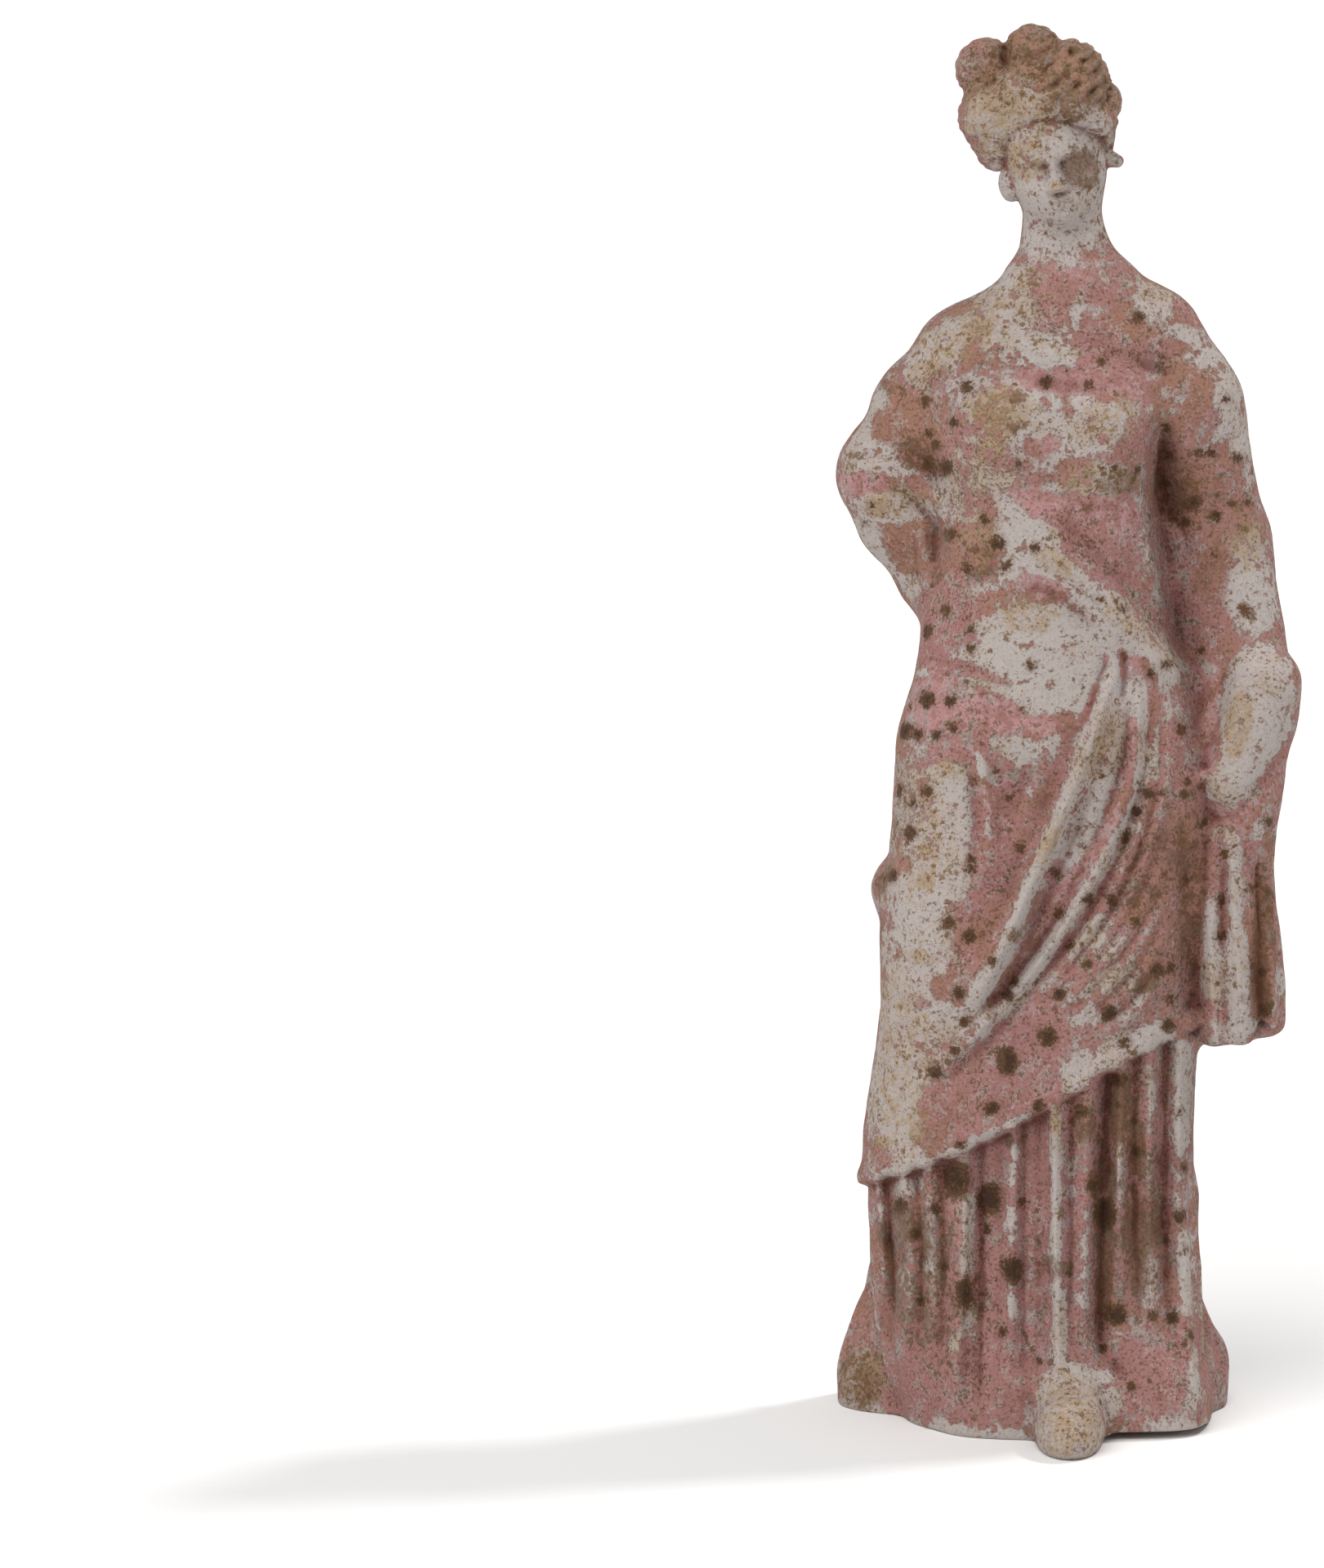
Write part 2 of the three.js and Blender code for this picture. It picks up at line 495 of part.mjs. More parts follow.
function bentArmFolds(grid) {
  fold(grid, [[-35.5, 151.5], [-25.5, 147.8], [-16.6, 139.6]], 0.8, 1.6, 0.2, 2, 0.1, 0.3);
  fold(grid, [[-34, 147.5], [-23, 144], [-19, 132]], -0.6, 1.8, 0, 2, 0.2, 0.2);
  fold(grid, [[-22.8, 143], [-22.3, 136.5], [-22.2, 129.5]], 0.9, 1.0, 0.3, 2, 0.3, 0.1);
  fold(grid, [[-20.8, 141], [-20.3, 136], [-20.6, 128.5]], -0.25, 1.4, 0, 2, 0.3, 0.1);
  fold(grid, [[-27, 159], [-18, 151], [-8, 147.2]], 0.5, 1.8, 0, 2, 0.4, 0.4);
}

// Grooves that set off the wrapped hand, and the folds hanging from it
function handFolds(grid) {
  fold(grid, [[25, 122], [23.6, 110.5], [20.8, 101]], -1.0, 1.3, 0, 2, 0.3, 0.1);
  fold(grid, [[20.8, 101], [24, 94.6], [31.2, 101.6], [34.4, 108]], -0.8, 1.6, 0, 2, 0.05, 0.25);
  fold(grid, [[25.2, 94], [26.4, 76], [27.4, 60]], 1.6, 1.3, 0, 1.7, 0.2, 0);
  fold(grid, [[22.8, 85], [22.2, 72], [23, 60]], 1.3, 1.3, 0, 2, 0.35, 0);
  fold(grid, [[24.4, 89], [24.2, 80], [24.3, 72]], -0.9, 0.9, 0, 2, 0.2, 0.5);
  fold(grid, [[29.4, 94], [29.4, 78], [30.2, 60]], -1.6, 1.2, 0, 2, 0.3, 0);
  fold(grid, [[31.8, 81], [32.2, 72], [32.8, 62]], 0.8, 1.1, 0, 2, 0.3, 0);
  fold(grid, [[19, 97], [18.8, 80], [19.8, 62]], -1.5, 1.8, 0, 2, 0.4, 0.1);
}

function tunicFolds(grid) {
  for (const [top, middle, low, height, width, lean, lowV, fadeOut] of TUNIC_PLEATS) {
    const topV = hemAt(top) + 1;
    const middleV = (topV + lowV) / 2;
    const points = [[top, topV], [middle, middleV], [low, lowV]];
    fold(grid, points, height, width, lean, 1.8, 0.03, fadeOut);
  }
  fold(grid, [[4.6, 18], [5.8, 10], [10.5, 4]], -1.3, 1.5, 0, 2, 0.3, 0.3);
  fold(grid, [[1.5, 12], [6.5, 5], [9, -3]], 0.8, 2.0, 0, 2, 0.3, 0.2);
}

// Plainer folds of the back, seen square on: the cloak swept over, and pleats below its hem
function backFolds(grid) {
  const sweeps = 5;
  for (let k = 0; k < sweeps; k += 1) {
    const start = [12 - 0.5 * k, 160 - 17 * k];
    const middle = [-1, 151 - 18.5 * k];
    const end = [-25, 144 - 18 * k];
    fold(grid, [start, middle, end], 0.9, 2.2, 0.2, 2, 0.25, 0.25);
    fold(grid, [start, middle, end].map(([u, v]) => [u, v - 5]), -0.7, 2.4, 0, 2, 0.25, 0.25);
  }
  const pleats = 8;
  for (let k = 0; k < pleats; k += 1) {
    const u = lerp(-27, 18, k / (pleats - 1));
    fold(grid, [[u, 46 + 0.4 * u], [u * 1.02, 22], [u * 1.1, 2]], 0.8, 1.7, 0, 2, 0.1, 0.2);
  }
}

const frontGrid = new Float64Array(columns * lines);
const backGrid = new Float64Array(columns * lines);
for (const draw of [sweepFolds, waistFolds, kneeFolds, chestFolds, armpitFolds, bentArmFolds,
  handFolds, tunicFolds]) draw(frontGrid);
backFolds(backGrid);

function sample(grid, u, v) {
  const fu = clamp((u - GRID_LEFT) / GRID_STEP, 0, columns - 1.001);
  const fv = clamp((v - GRID_LOW) / GRID_STEP, 0, lines - 1.001);
  const i = Math.floor(fu);
  const j = Math.floor(fv);
  const low = lerp(grid[j * columns + i], grid[j * columns + i + 1], fu - i);
  const high = lerp(grid[(j + 1) * columns + i], grid[(j + 1) * columns + i + 1], fu - i);
  return lerp(low, high, fv - j);
}

// Thickness of the cloak over the tunic, with a fuller band along its hem
function cloakLayer(u, v) {
  const above = v - hemAt(u);
  const worn = smoothstep(above, -0.8, 0.6) * (1 - smoothstep(v, 75, 110));
  const band = 0.6 * Math.exp(-(((above - 1.8) / 1.6) ** 2));
  return (CLOAK_THICKNESS * worn + band) * (1 - smoothstep(u, 19, 22));
}

// Plain upright pleats on the sides, spaced along the depth
function sidePleats(x, y, z) {
  const fall = smoothstep(x, 22, 26) * smoothstep(z, 60, 64) * (1 - smoothstep(z, 88, 108));
  const tunic = (1 - smoothstep(z, 34, 42)) * smoothstep(z, 3, 9);
  const fallWave = FALL_PLEAT_HEIGHT * Math.cos((2 * Math.PI * y) / FALL_PLEAT_PITCH);
  const tunicWave = TUNIC_PLEAT_HEIGHT * Math.cos((2 * Math.PI * y) / TUNIC_PLEAT_PITCH);
  return fall * fallWave + tunic * tunicWave;
}

// The whole form, folds and foot included, cut level where it stands
function figure(x, y, z) {
  let d = smoothForm(x, y, z);
  if (Math.abs(d) < 6) {
    const e = 0.6;
    const facing = (smoothForm(x, y + e, z) - smoothForm(x, y - e, z)) / (2 * e);
    const scale = EYE_DISTANCE / (EYE_DISTANCE + y);
    const u = x * scale;
    const v = EYE_HEIGHT + (z - EYE_HEIGHT) * scale;
    d -= sample(frontGrid, u, v) * smoothstep(-facing, -0.05, 0.55);
    d -= sample(backGrid, x, z) * smoothstep(facing, 0.1, 0.7);
    d -= sidePleats(x, y, z) * (1 - smoothstep(Math.abs(facing), 0.3, 0.8));
    if (z < NECK_LOW) d -= cloakLayer(u, v);
  }
  if (z < NECK_LOW) d = join(d, foot(x, y, z), 2.5);
  const lifted = HEM_RISE * smoothstep(x, 4, 8) * (1 - smoothstep(y, -15, -7));
  return carve(d, lifted - z, 0.6);
}

// Sections: each is a surface that lies along the cloak's hem low down and level elsewhere

const HEM_REST = 50;

function sectionHeight(rest, x, y) {
  const follow = smoothstep(rest, 2, 40) * (1 - smoothstep(rest, 62, 125));
  if (follow === 0) return rest;
  const scale = EYE_DISTANCE / (EYE_DISTANCE + y);
  const hem = EYE_HEIGHT + (hemAt(clamp(x * scale, -34, 20)) - EYE_HEIGHT) / scale;
  return rest + follow * (hem - HEM_REST);
}

function sectionCentre(rest) {
  const stops = [[0, -4, 0], [90, -3, 0], [130, -2, 1], [172, -1.5, 1], [190, -1, 0.5],
    [200, -2.5, 0.5], [210, -4.5, 0], [219, -5.2, -0.6]];
  let k = 0;
  while (k < stops.length - 2 && rest > stops[k + 1][0]) k += 1;
  const t = clamp((rest - stops[k][0]) / (stops[k + 1][0] - stops[k][0]), 0, 1);
  return [lerp(stops[k][1], stops[k + 1][1], t), lerp(stops[k][2], stops[k + 1][2], t)];
}

// Outermost point of the form along one ray of a section
function castRay(rest, angle) {
  const [cx, cy] = sectionCentre(rest);
  const at = (r) => {
    const x = cx + r * Math.cos(angle);
    const y = cy + r * Math.sin(angle);
    return [x, y, sectionHeight(rest, x, y)];
  };
  let outside = SEARCH_RADIUS;
  let inside = outside - SEARCH_STEP;
  while (inside > 0.5 && figure(...at(inside)) > 0) {
    outside = inside;
    inside -= SEARCH_STEP;
  }
  for (let k = 0; k < 14; k += 1) {
    const middle = (inside + outside) / 2;
    if (figure(...at(middle)) > 0) outside = middle;
    else inside = middle;
  }
  return at(inside);
}

// Angles of the columns, closer together over the front
function columnAngles(count) {
  const front = Math.round(count * FRONT_SHARE);
  const back = count - front;
  const angles = [];
  for (let k = 0; k < front; k += 1) angles.push(-Math.PI + (Math.PI * k) / front);
  for (let k = 0; k < back; k += 1) angles.push((Math.PI * k) / back);
  return angles;
}

// Rest heights of the sections, from the ground to the top of the hair
function sectionRests() {
  const rests = [0, 1.8, 4.5, 8, 12, 16.5, 21.5, 27, 32.5, 38, 43, 47, 49.3, 50.6, 53];
  const bands = [[53, 59.2, 2], [59.2, 60.9, 1], [60.9, 178, 34], [178, 190, 5], [190, 218.2, 25]];
  for (const [from, to, steps] of bands) {
    for (let k = 1; k <= steps; k += 1) rests.push(lerp(from, to, k / steps));
  }
  return rests;
}

function topOfHair() {
  const [cx, cy] = sectionCentre(219);
  let z = 223;
  while (figure(cx, cy, z) > 0) z -= 0.02;
  return [cx, cy, z];
}

// Joins two closed rings of points whose columns may differ in number
function stitch(triangles, low, lowAngles, high, highAngles, positions) {
  let i = 0;
  let j = 0;
  const turn = (angles, k) => angles[k % angles.length] + (k >= angles.length ? 2 * Math.PI : 0);
  const misfit = (p, q) => {
    const middle = positions[p].map((value, k) => (value + positions[q][k]) / 2);
    return Math.abs(figure(...middle));
  };
  while (i < low.length || j < high.length) {
    const a = low[i % low.length];
    const b = high[j % high.length];
    const nextA = low[(i + 1) % low.length];
    const nextB = high[(j + 1) % high.length];
    let stepLow = j >= high.length;
    if (!stepLow && i < low.length) {
      const ahead = turn(lowAngles, i + 1) - turn(highAngles, j + 1);
      const even = Math.abs(ahead) < 1e-6;
      stepLow = even ? misfit(nextA, b) < misfit(a, nextB) : ahead < 0;
    }
    if (stepLow) {
      triangles.push(a, nextA, b);
      i += 1;
    } else {
      triangles.push(a, nextB, b);
      j += 1;
    }
  }
}

function buildGeometry() {
  const positions = [];
  const triangles = [];
  let previous = null;
  let previousAngles = null;
  for (const rest of sectionRests()) {
    const angles = columnAngles(rest < NECK_LOW ? BODY_COLUMNS : HEAD_COLUMNS);
    const ring = angles.map((angle) => positions.push(castRay(rest, angle)) - 1);
    if (previous) {
      stitch(triangles, previous, previousAngles, ring, angles, positions);
    } else {
      const centre = positions.push([...sectionCentre(0), 0]) - 1;
      ring.forEach((p, k) => triangles.push(centre, ring[(k + 1) % ring.length], p));
    }
    previous = ring;
    previousAngles = angles;
  }
  const top = positions.push(topOfHair()) - 1;
  previous.forEach((p, k) => triangles.push(p, previous[(k + 1) % previous.length], top));
  const geometry = new THREE.BufferGeometry();
  geometry.setAttribute("position", new THREE.Float32BufferAttribute(positions.flat(), 3));
  geometry.setIndex(triangles);
  geometry.computeVertexNormals();
  return geometry;
}

function clay() {
  const colour = new THREE.Color().setStyle("rgb(188, 150, 138)");
  return new THREE.MeshStandardMaterial({ color: colour, roughness: 0.9, metalness: 0 });
}

const figurine = new THREE.Mesh(buildGeometry(), clay());
figurine.name = "figurine";

const part = new THREE.Group();
part.add(figurine);

export default part;
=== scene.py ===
# Looks of a terracotta figurine of a standing draped woman.
# Blender works in metres; the tables of the form are in millimetres, as on the workbench.
# +Z is up, the front faces -Y, and the origin is the centre of the underside.
import math

import bpy
import numpy as np
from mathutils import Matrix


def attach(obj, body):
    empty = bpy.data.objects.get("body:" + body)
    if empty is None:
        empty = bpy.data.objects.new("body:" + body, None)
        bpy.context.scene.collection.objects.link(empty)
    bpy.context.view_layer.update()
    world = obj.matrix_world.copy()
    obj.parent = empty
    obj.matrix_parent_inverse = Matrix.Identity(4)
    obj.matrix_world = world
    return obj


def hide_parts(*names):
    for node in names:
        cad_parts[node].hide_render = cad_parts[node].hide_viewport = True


bl_info = {
    "name": "Terracotta figurine",
    "version": (1, 0, 0),
    "blender": (4, 5, 0),
    "location": "3D View > Sidebar > Figurine",
    "description": "Builds the painted terracotta figurine and the stage it stands on",
    "category": "Object",
}

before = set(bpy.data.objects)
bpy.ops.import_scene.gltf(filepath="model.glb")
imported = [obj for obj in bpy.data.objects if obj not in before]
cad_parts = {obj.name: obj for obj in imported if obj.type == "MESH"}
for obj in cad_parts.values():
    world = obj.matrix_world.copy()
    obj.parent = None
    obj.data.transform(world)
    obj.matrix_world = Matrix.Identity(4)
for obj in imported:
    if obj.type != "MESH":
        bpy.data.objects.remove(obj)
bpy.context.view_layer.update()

MM = 0.001
SEED = 7

# Share of the relief that the plain back keeps, and so of the painted shade and dust in its hollows,
# and the tints that darken the grain and, as painted shade and dust, the hollows
BACK_RELIEF = 0.5
GRAIN_TINT = (0.87, 0.84, 0.82)
HOLLOW_SHADE_AND_DUST = (0.60, 0.43, 0.39)

# Where the eye that the strokes are laid out for stands, in millimetres
EYE_DISTANCE = 1000
EYE_HEIGHT = 230

# Driving heights of the form
NECK_LOW = 183
NECK_HIGH = 199
SHOULDER_HEIGHT = 168
ELBOW_HEIGHT = 148.2
FALL_LOW = 60.8
FALL_HIGH = 112
HEM_RISE = 1.2
CLOAK_THICKNESS = 1.5

# Robed body: height, left, right, front and back of the section
BODY_POWER = 2.25
BODY_ROWS = [
    [-2, -25.5, 22.5, -20.3, 18.5],
    [12, -29.4, 21.0, -19.5, 17.0],
    [28, -30.6, 20.3, -18.8, 16.0],
    [45, -30.3, 19.8, -18.5, 15.5],
    [60, -27.9, 20.5, -18.5, 15.5],
    [80, -25.4, 23.0, -19.0, 16.0],
    [98, -24.8, 24.0, -19.0, 17.0],
    [112, -23.3, 21.0, -18.5, 15.5],
    [128, -22.2, 15.5, -16.5, 13.0],
    [145, -19.5, 14.0, -16.0, 12.5],
    [157, -20.0, 15.0, -15.5, 12.5],
    [166, -18.6, 15.5, -12.8, 11.5],
    [173, -14.8, 14.5, -10.0, 10.0],
    [180, -9.6, 10.6, -8.0, 8.5],
    [184, -7.3, 6.8, -6.0, 7.2],
    [189, -6.8, 5.2, -5.2, 6.5],
    [205, -6.6, 4.8, -4.0, 6.0],
]

# Fall of cloth below the hanging hand, same columns
FALL_POWER = 2.8
FALL_ROWS = [
    [50, 21.0, 32.0, -12.5, 8.0],
    [66, 19.2, 33.4, -13.2, 9.0],
    [88, 20.0, 31.6, -12.6, 7.2],
    [106, 22.0, 34.0, -11.2, 5.0],
    [120, 22.0, 33.0, -9.0, 3.0],
]

# Hem spreading on the ground behind, same columns
SPREAD_HIGH = 34
SPREAD_POWER = 2.6
SPREAD_ROWS = [
    [-2, -36.4, 25.2, -6.0, 18.8],
    [4, -36.6, 25.4, -6.0, 18.8],
    [9, -35.4, 24.6, -4.5, 18.4],
    [14, -33.6, 22.2, -2.0, 17.5],
    [22, -31.2, 19.5, 3.0, 16.0],
    [36, -28.6, 18.0, 4.0, 13.6],
]

# Hem standing squarer on the ground in front, same columns
FRONT_HIGH = 24
FRONT_POWER = 4
FRONT_ROWS = [
    [-2, -19.8, 22.4, -20.6, 6.0],
    [5, -20.2, 21.8, -19.8, 6.0],
    [14, -21.0, 19.4, -17.4, 5.0],
    [26, -22.0, 17.6, -14.0, 4.0],
]

# Head: centre, and the directions of its crown and of its face
HEAD_CENTRE = np.array([-1.9, -1.4, 197.6])
CROWN = np.array([-0.2, -0.13, 0.97])
CROWN = CROWN / np.linalg.norm(CROWN)
FORWARD = np.array([-0.03, -0.99, -0.12])
FORWARD = FORWARD - CROWN * FORWARD.dot(CROWN)
FORWARD = FORWARD / np.linalg.norm(FORWARD)
SIDEWAYS = np.cross(FORWARD, CROWN)

# Drawing plane that strokes and paint marks are laid out on
GRID_LEFT = -42
GRID_RIGHT = 42
GRID_LOW = -10
GRID_HIGH = 226

# Lower edge of the cloak on the drawing plane, left to right
HEM_LINE = [[-36, 35.5], [-24, 38.6], [-10, 44.6], [3, 52.0], [14, 58.8], [26, 64]]
# The three leading folds that sweep from the gathered knot down to the hem
CREST = [[7.8, 121], [3.1, 105], [-4.2, 88], [-11.4, 71], [-16, 63.5]]
SECOND = [[11.2, 117], [10.4, 102], [5.2, 87.5], [-1.5, 75.8], [-13, 61.4]]
THIRD = [[14.6, 116], [14.0, 99.5], [9.0, 84], [2.2, 73], [-8, 62]]
FAN_COUNT = 4

# Upright pleats on the sides of the fall of cloth and of the tunic
FALL_PLEAT_HEIGHT = 0.6
FALL_PLEAT_PITCH = 6.8
TUNIC_PLEAT_HEIGHT = 0.5
TUNIC_PLEAT_PITCH = 6.0

# Strands of the hair
STRAND_PITCH = 1.7
STRAND_HEIGHT = 0.11

# Folds are worked out this near the masses
FOLD_REACH = 6

# Box that the form is sampled in: in coarse steps, each of so many mesh steps,
# and exactly this near the surface
BOX_LOW = np.array([-40.0, -37.0, -2.0])
BOX_SIZE = np.array([80.0, 60.0, 224.0])
COARSE = 3
BAND = 1.2
# Points worked on at a time, so that they stay in fast memory
CHUNK = 60000

# Share of the triangles left to the back and the underside, and how much the merging
# of points follows their spacing rather than the form
PLAIN_SHARE = 0.24
EVEN_SPACING = 0.999999

# Rounds of smoothing that tell hollows from ridges, and size of the wear
SMOOTHING = 14
WEAR_SIZE = 7.0

# Camera's turn in degrees
CAMERA_TURN = (82.605, 0.463, 3.567)

# Folds: line, height, width and the shares of the length that fade in and out;
# for some, how far they lean over and how steep their sides are
FRONT_FOLDS = [
    # Waist
    [[[-9, 140.5], [3.5, 131.8], [18.5, 114]], 1.6, 2.6, 0.3, 0.2, 0.15, 2.4],
    [[[-9, 131.5], [-1.5, 129.2], [6.6, 122]], -1.0, 1.4, 0.25, 0.4],
    [[[-6.5, 146.5], [5.8, 134.8], [20, 115]], -0.7, 1.8, 0.3, 0.3],
    [[[-24.5, 120.5], [-15, 118], [-6.5, 115]], -0.5, 1.2, 0.2, 0.4],
    [[[-24, 109], [-14, 111.6], [-2, 108.6]], -0.6, 1.9, 0.3, 0.3],
    [[[-1.8, 111], [-4.8, 100], [-9, 88]], 0.5, 1.2, 0.2, 0.5],
    [[[-14, 107], [-12.3, 96], [-12.6, 84]], 0.7, 1.1, 0.25, 0.5],
    [[[-16, 106], [-14.5, 94], [-15, 82]], -0.6, 1.0, 0.2, 0.5],
    # Thigh and knee
    [[[-6, 108], [-9, 91], [-18, 67]], -1.3, 4.4, 0.3, 0.3],
    [[[-31, 84.5], [-28, 84.5], [-25, 86.5]], 0.8, 2.0, 0, 0.5],
    [[[-31, 62.5], [-26, 62.5], [-20, 59]], 0.6, 2.0, 0, 0.5],
    [[[-31.5, 54], [-25, 54], [-17, 57]], -0.4, 1.9, 0.1, 0.5],
    [[[-28.5, 77], [-24, 70], [-18, 66]], -0.4, 2.0, 0.3, 0.5],
    # Chest
    [[[-16, 171], [0, 166.2], [14, 161.2]], 0.55, 1.5, 0.3, 0.25],
    [[[-20, 165], [-2, 162.7], [13.5, 158.8]], -0.5, 1.5, 0.3, 0.2],
    [[[-3, 178], [6, 171.8], [17, 166]], 0.45, 1.5, 0.3, 0.3],
    [[[-1, 172], [8, 167], [19, 163]], -0.45, 1.4, 0.3, 0.3],
    [[[11.5, 179], [18.2, 171.4], [22, 161.5]], 0.5, 1.4, 0.1, 0.35],
    [[[17, 176.5], [23.5, 167], [27.6, 156]], 0.6, 1.4, 0.1, 0.3],
    [[[30, 154], [26.5, 151], [23, 146]], 0.5, 1.5, 0, 0.5],
    # Armpit
    [[[14.2, 158.5], [15.6, 146.5], [19.5, 131]], -2.6, 3.1, 0.25, 0.45, -0.35],
    [[[19.5, 154], [20.7, 134], [20.4, 114]], -1.3, 4.0, 0.3, 0.3],
    [[[12.2, 157.5], [11.9, 141], [15.5, 125]], 0.9, 1.5, 0.3, 0.3],
    [[[13.6, 142.8], [16, 139.8], [17.4, 136.4]], 0.7, 1.1, 0.3, 0.3],
    # Bent arm
    [[[-35.5, 151.5], [-25.5, 147.8], [-16.6, 139.6]], 0.8, 1.6, 0.1, 0.3, 0.2],
    [[[-34, 147.5], [-23, 144], [-19, 132]], -0.6, 1.8, 0.2, 0.2],
    [[[-22.8, 143], [-22.3, 136.5], [-22.2, 129.5]], 0.9, 1.0, 0.3, 0.1, 0.3],
    [[[-20.8, 141], [-20.3, 136], [-20.6, 128.5]], -0.25, 1.4, 0.3, 0.1],
    [[[-27, 159], [-18, 151], [-8, 147.2]], 0.5, 1.8, 0.4, 0.4],
    # Hanging hand and the fall of cloth
    [[[25, 122], [23.6, 110.5], [20.8, 101]], -1.0, 1.3, 0.3, 0.1],
    [[[20.8, 101], [24, 94.6], [31.2, 101.6], [34.4, 108]], -0.8, 1.6, 0.05, 0.25],
    [[[25.2, 94], [26.4, 76], [27.4, 60]], 1.6, 1.3, 0.2, 0, 0, 1.7],
    [[[22.8, 85], [22.2, 72], [23, 60]], 1.3, 1.3, 0.35, 0],
    [[[24.4, 89], [24.2, 80], [24.3, 72]], -0.9, 0.9, 0.2, 0.5],
    [[[29.4, 94], [29.4, 78], [30.2, 60]], -1.6, 1.2, 0.3, 0],
    [[[31.8, 81], [32.2, 72], [32.8, 62]], 0.8, 1.1, 0.3, 0],
    [[[19, 97], [18.8, 80], [19.8, 62]], -1.5, 1.8, 0.4, 0.1],
]
GROUND_FOLDS = [
    [[[4.6, 18], [5.8, 10], [10.5, 4]], -1.3, 1.5, 0.3, 0.3],
    [[[1.5, 12], [6.5, 5], [9, -3]], 0.8, 2.0, 0.3, 0.2],
]
HAIR_GROOVES = [
    [[[-8.4, 217.6], [-9.5, 213.7], [-9.8, 210.2]], -0.7, 0.8, 0, 0.3],
    [[[-15.9, 210.7], [-13.1, 210.6], [-10.3, 211]], -0.4, 0.6, 0.2, 0.2],
    [[[-15.1, 213.3], [-12.2, 213], [-10.2, 211.8]], -0.35, 0.6, 0.2, 0.2],
    [[[-16.6, 208.7], [-12.8, 209.2], [-10.2, 208.7]], -0.5, 0.8, 0.1, 0.2],
]

# Tunic pleats: x at the cloak's hem, half way and on the ground, height, width, lean,
# lowest v and the share of the length that fades out below
TUNIC_PLEATS = [
    [-29.8, -29.6, -31.5, 0.8, 1.2, 0, 4, 0.4],
    [-28.4, -27.2, -29.4, -1.2, 1.3, 0, 6, 0.3],
    [-26.0, -24.8, -26.8, 1.0, 1.3, 0, 6, 0.4],
    [-23.9, -22.8, -24.2, -0.7, 1.1, 0, 4, 0.4],
    [-22.0, -21.2, -22.0, 0.8, 1.1, 0, 2, 0.4],
    [-19.8, -19.4, -20.4, -0.8, 1.1, 0, 2, 0.3],
    [-16.0, -16.6, -18.0, 1.9, 1.8, -0.35, -3, 0.25],
    [-13.4, -13.5, -13.8, -1.0, 1.0, 0, -3, 0.2],
    [-11.2, -11.4, -11.6, -0.9, 2.2, 0, 0, 0.3],
    [-8.3, -8.9, -9.4, 1.1, 1.1, 0, 2, 0.4],
    [-6.8, -6.8, -7.0, -0.9, 0.9, 0, 2, 0.3],
    [-4.9, -4.8, -5.0, -1.1, 1.6, 0, 4, 0.3],
    [-2.1, -1.9, -1.2, 2.3, 1.4, 0.25, 4, 0.05],
    [0.6, 0.6, 0.4, -0.5, 0.8, 0, 12, 0.3],
    [3.6, 2.8, 2.2, 1.3, 1.6, 0, 10, 0.2],
    [6.4, 5.4, 5.0, -2.6, 1.5, 0, 5, 0.25],
    [8.6, 8.0, 9.0, 1.2, 1.0, 0, 12, 0.5],
    [10.6, 10.5, 11.5, -0.9, 1.1, 0, 8, 0.5],
    [13.1, 12.9, 14.0, 1.1, 1.1, 0, 8, 0.5],
    [15.3, 15.2, 16.5, -1.1, 1.2, 0, 2, 0.5],
    [17.8, 18.0, 20.6, 1.7, 1.5, 0, -2, 0.15],
]

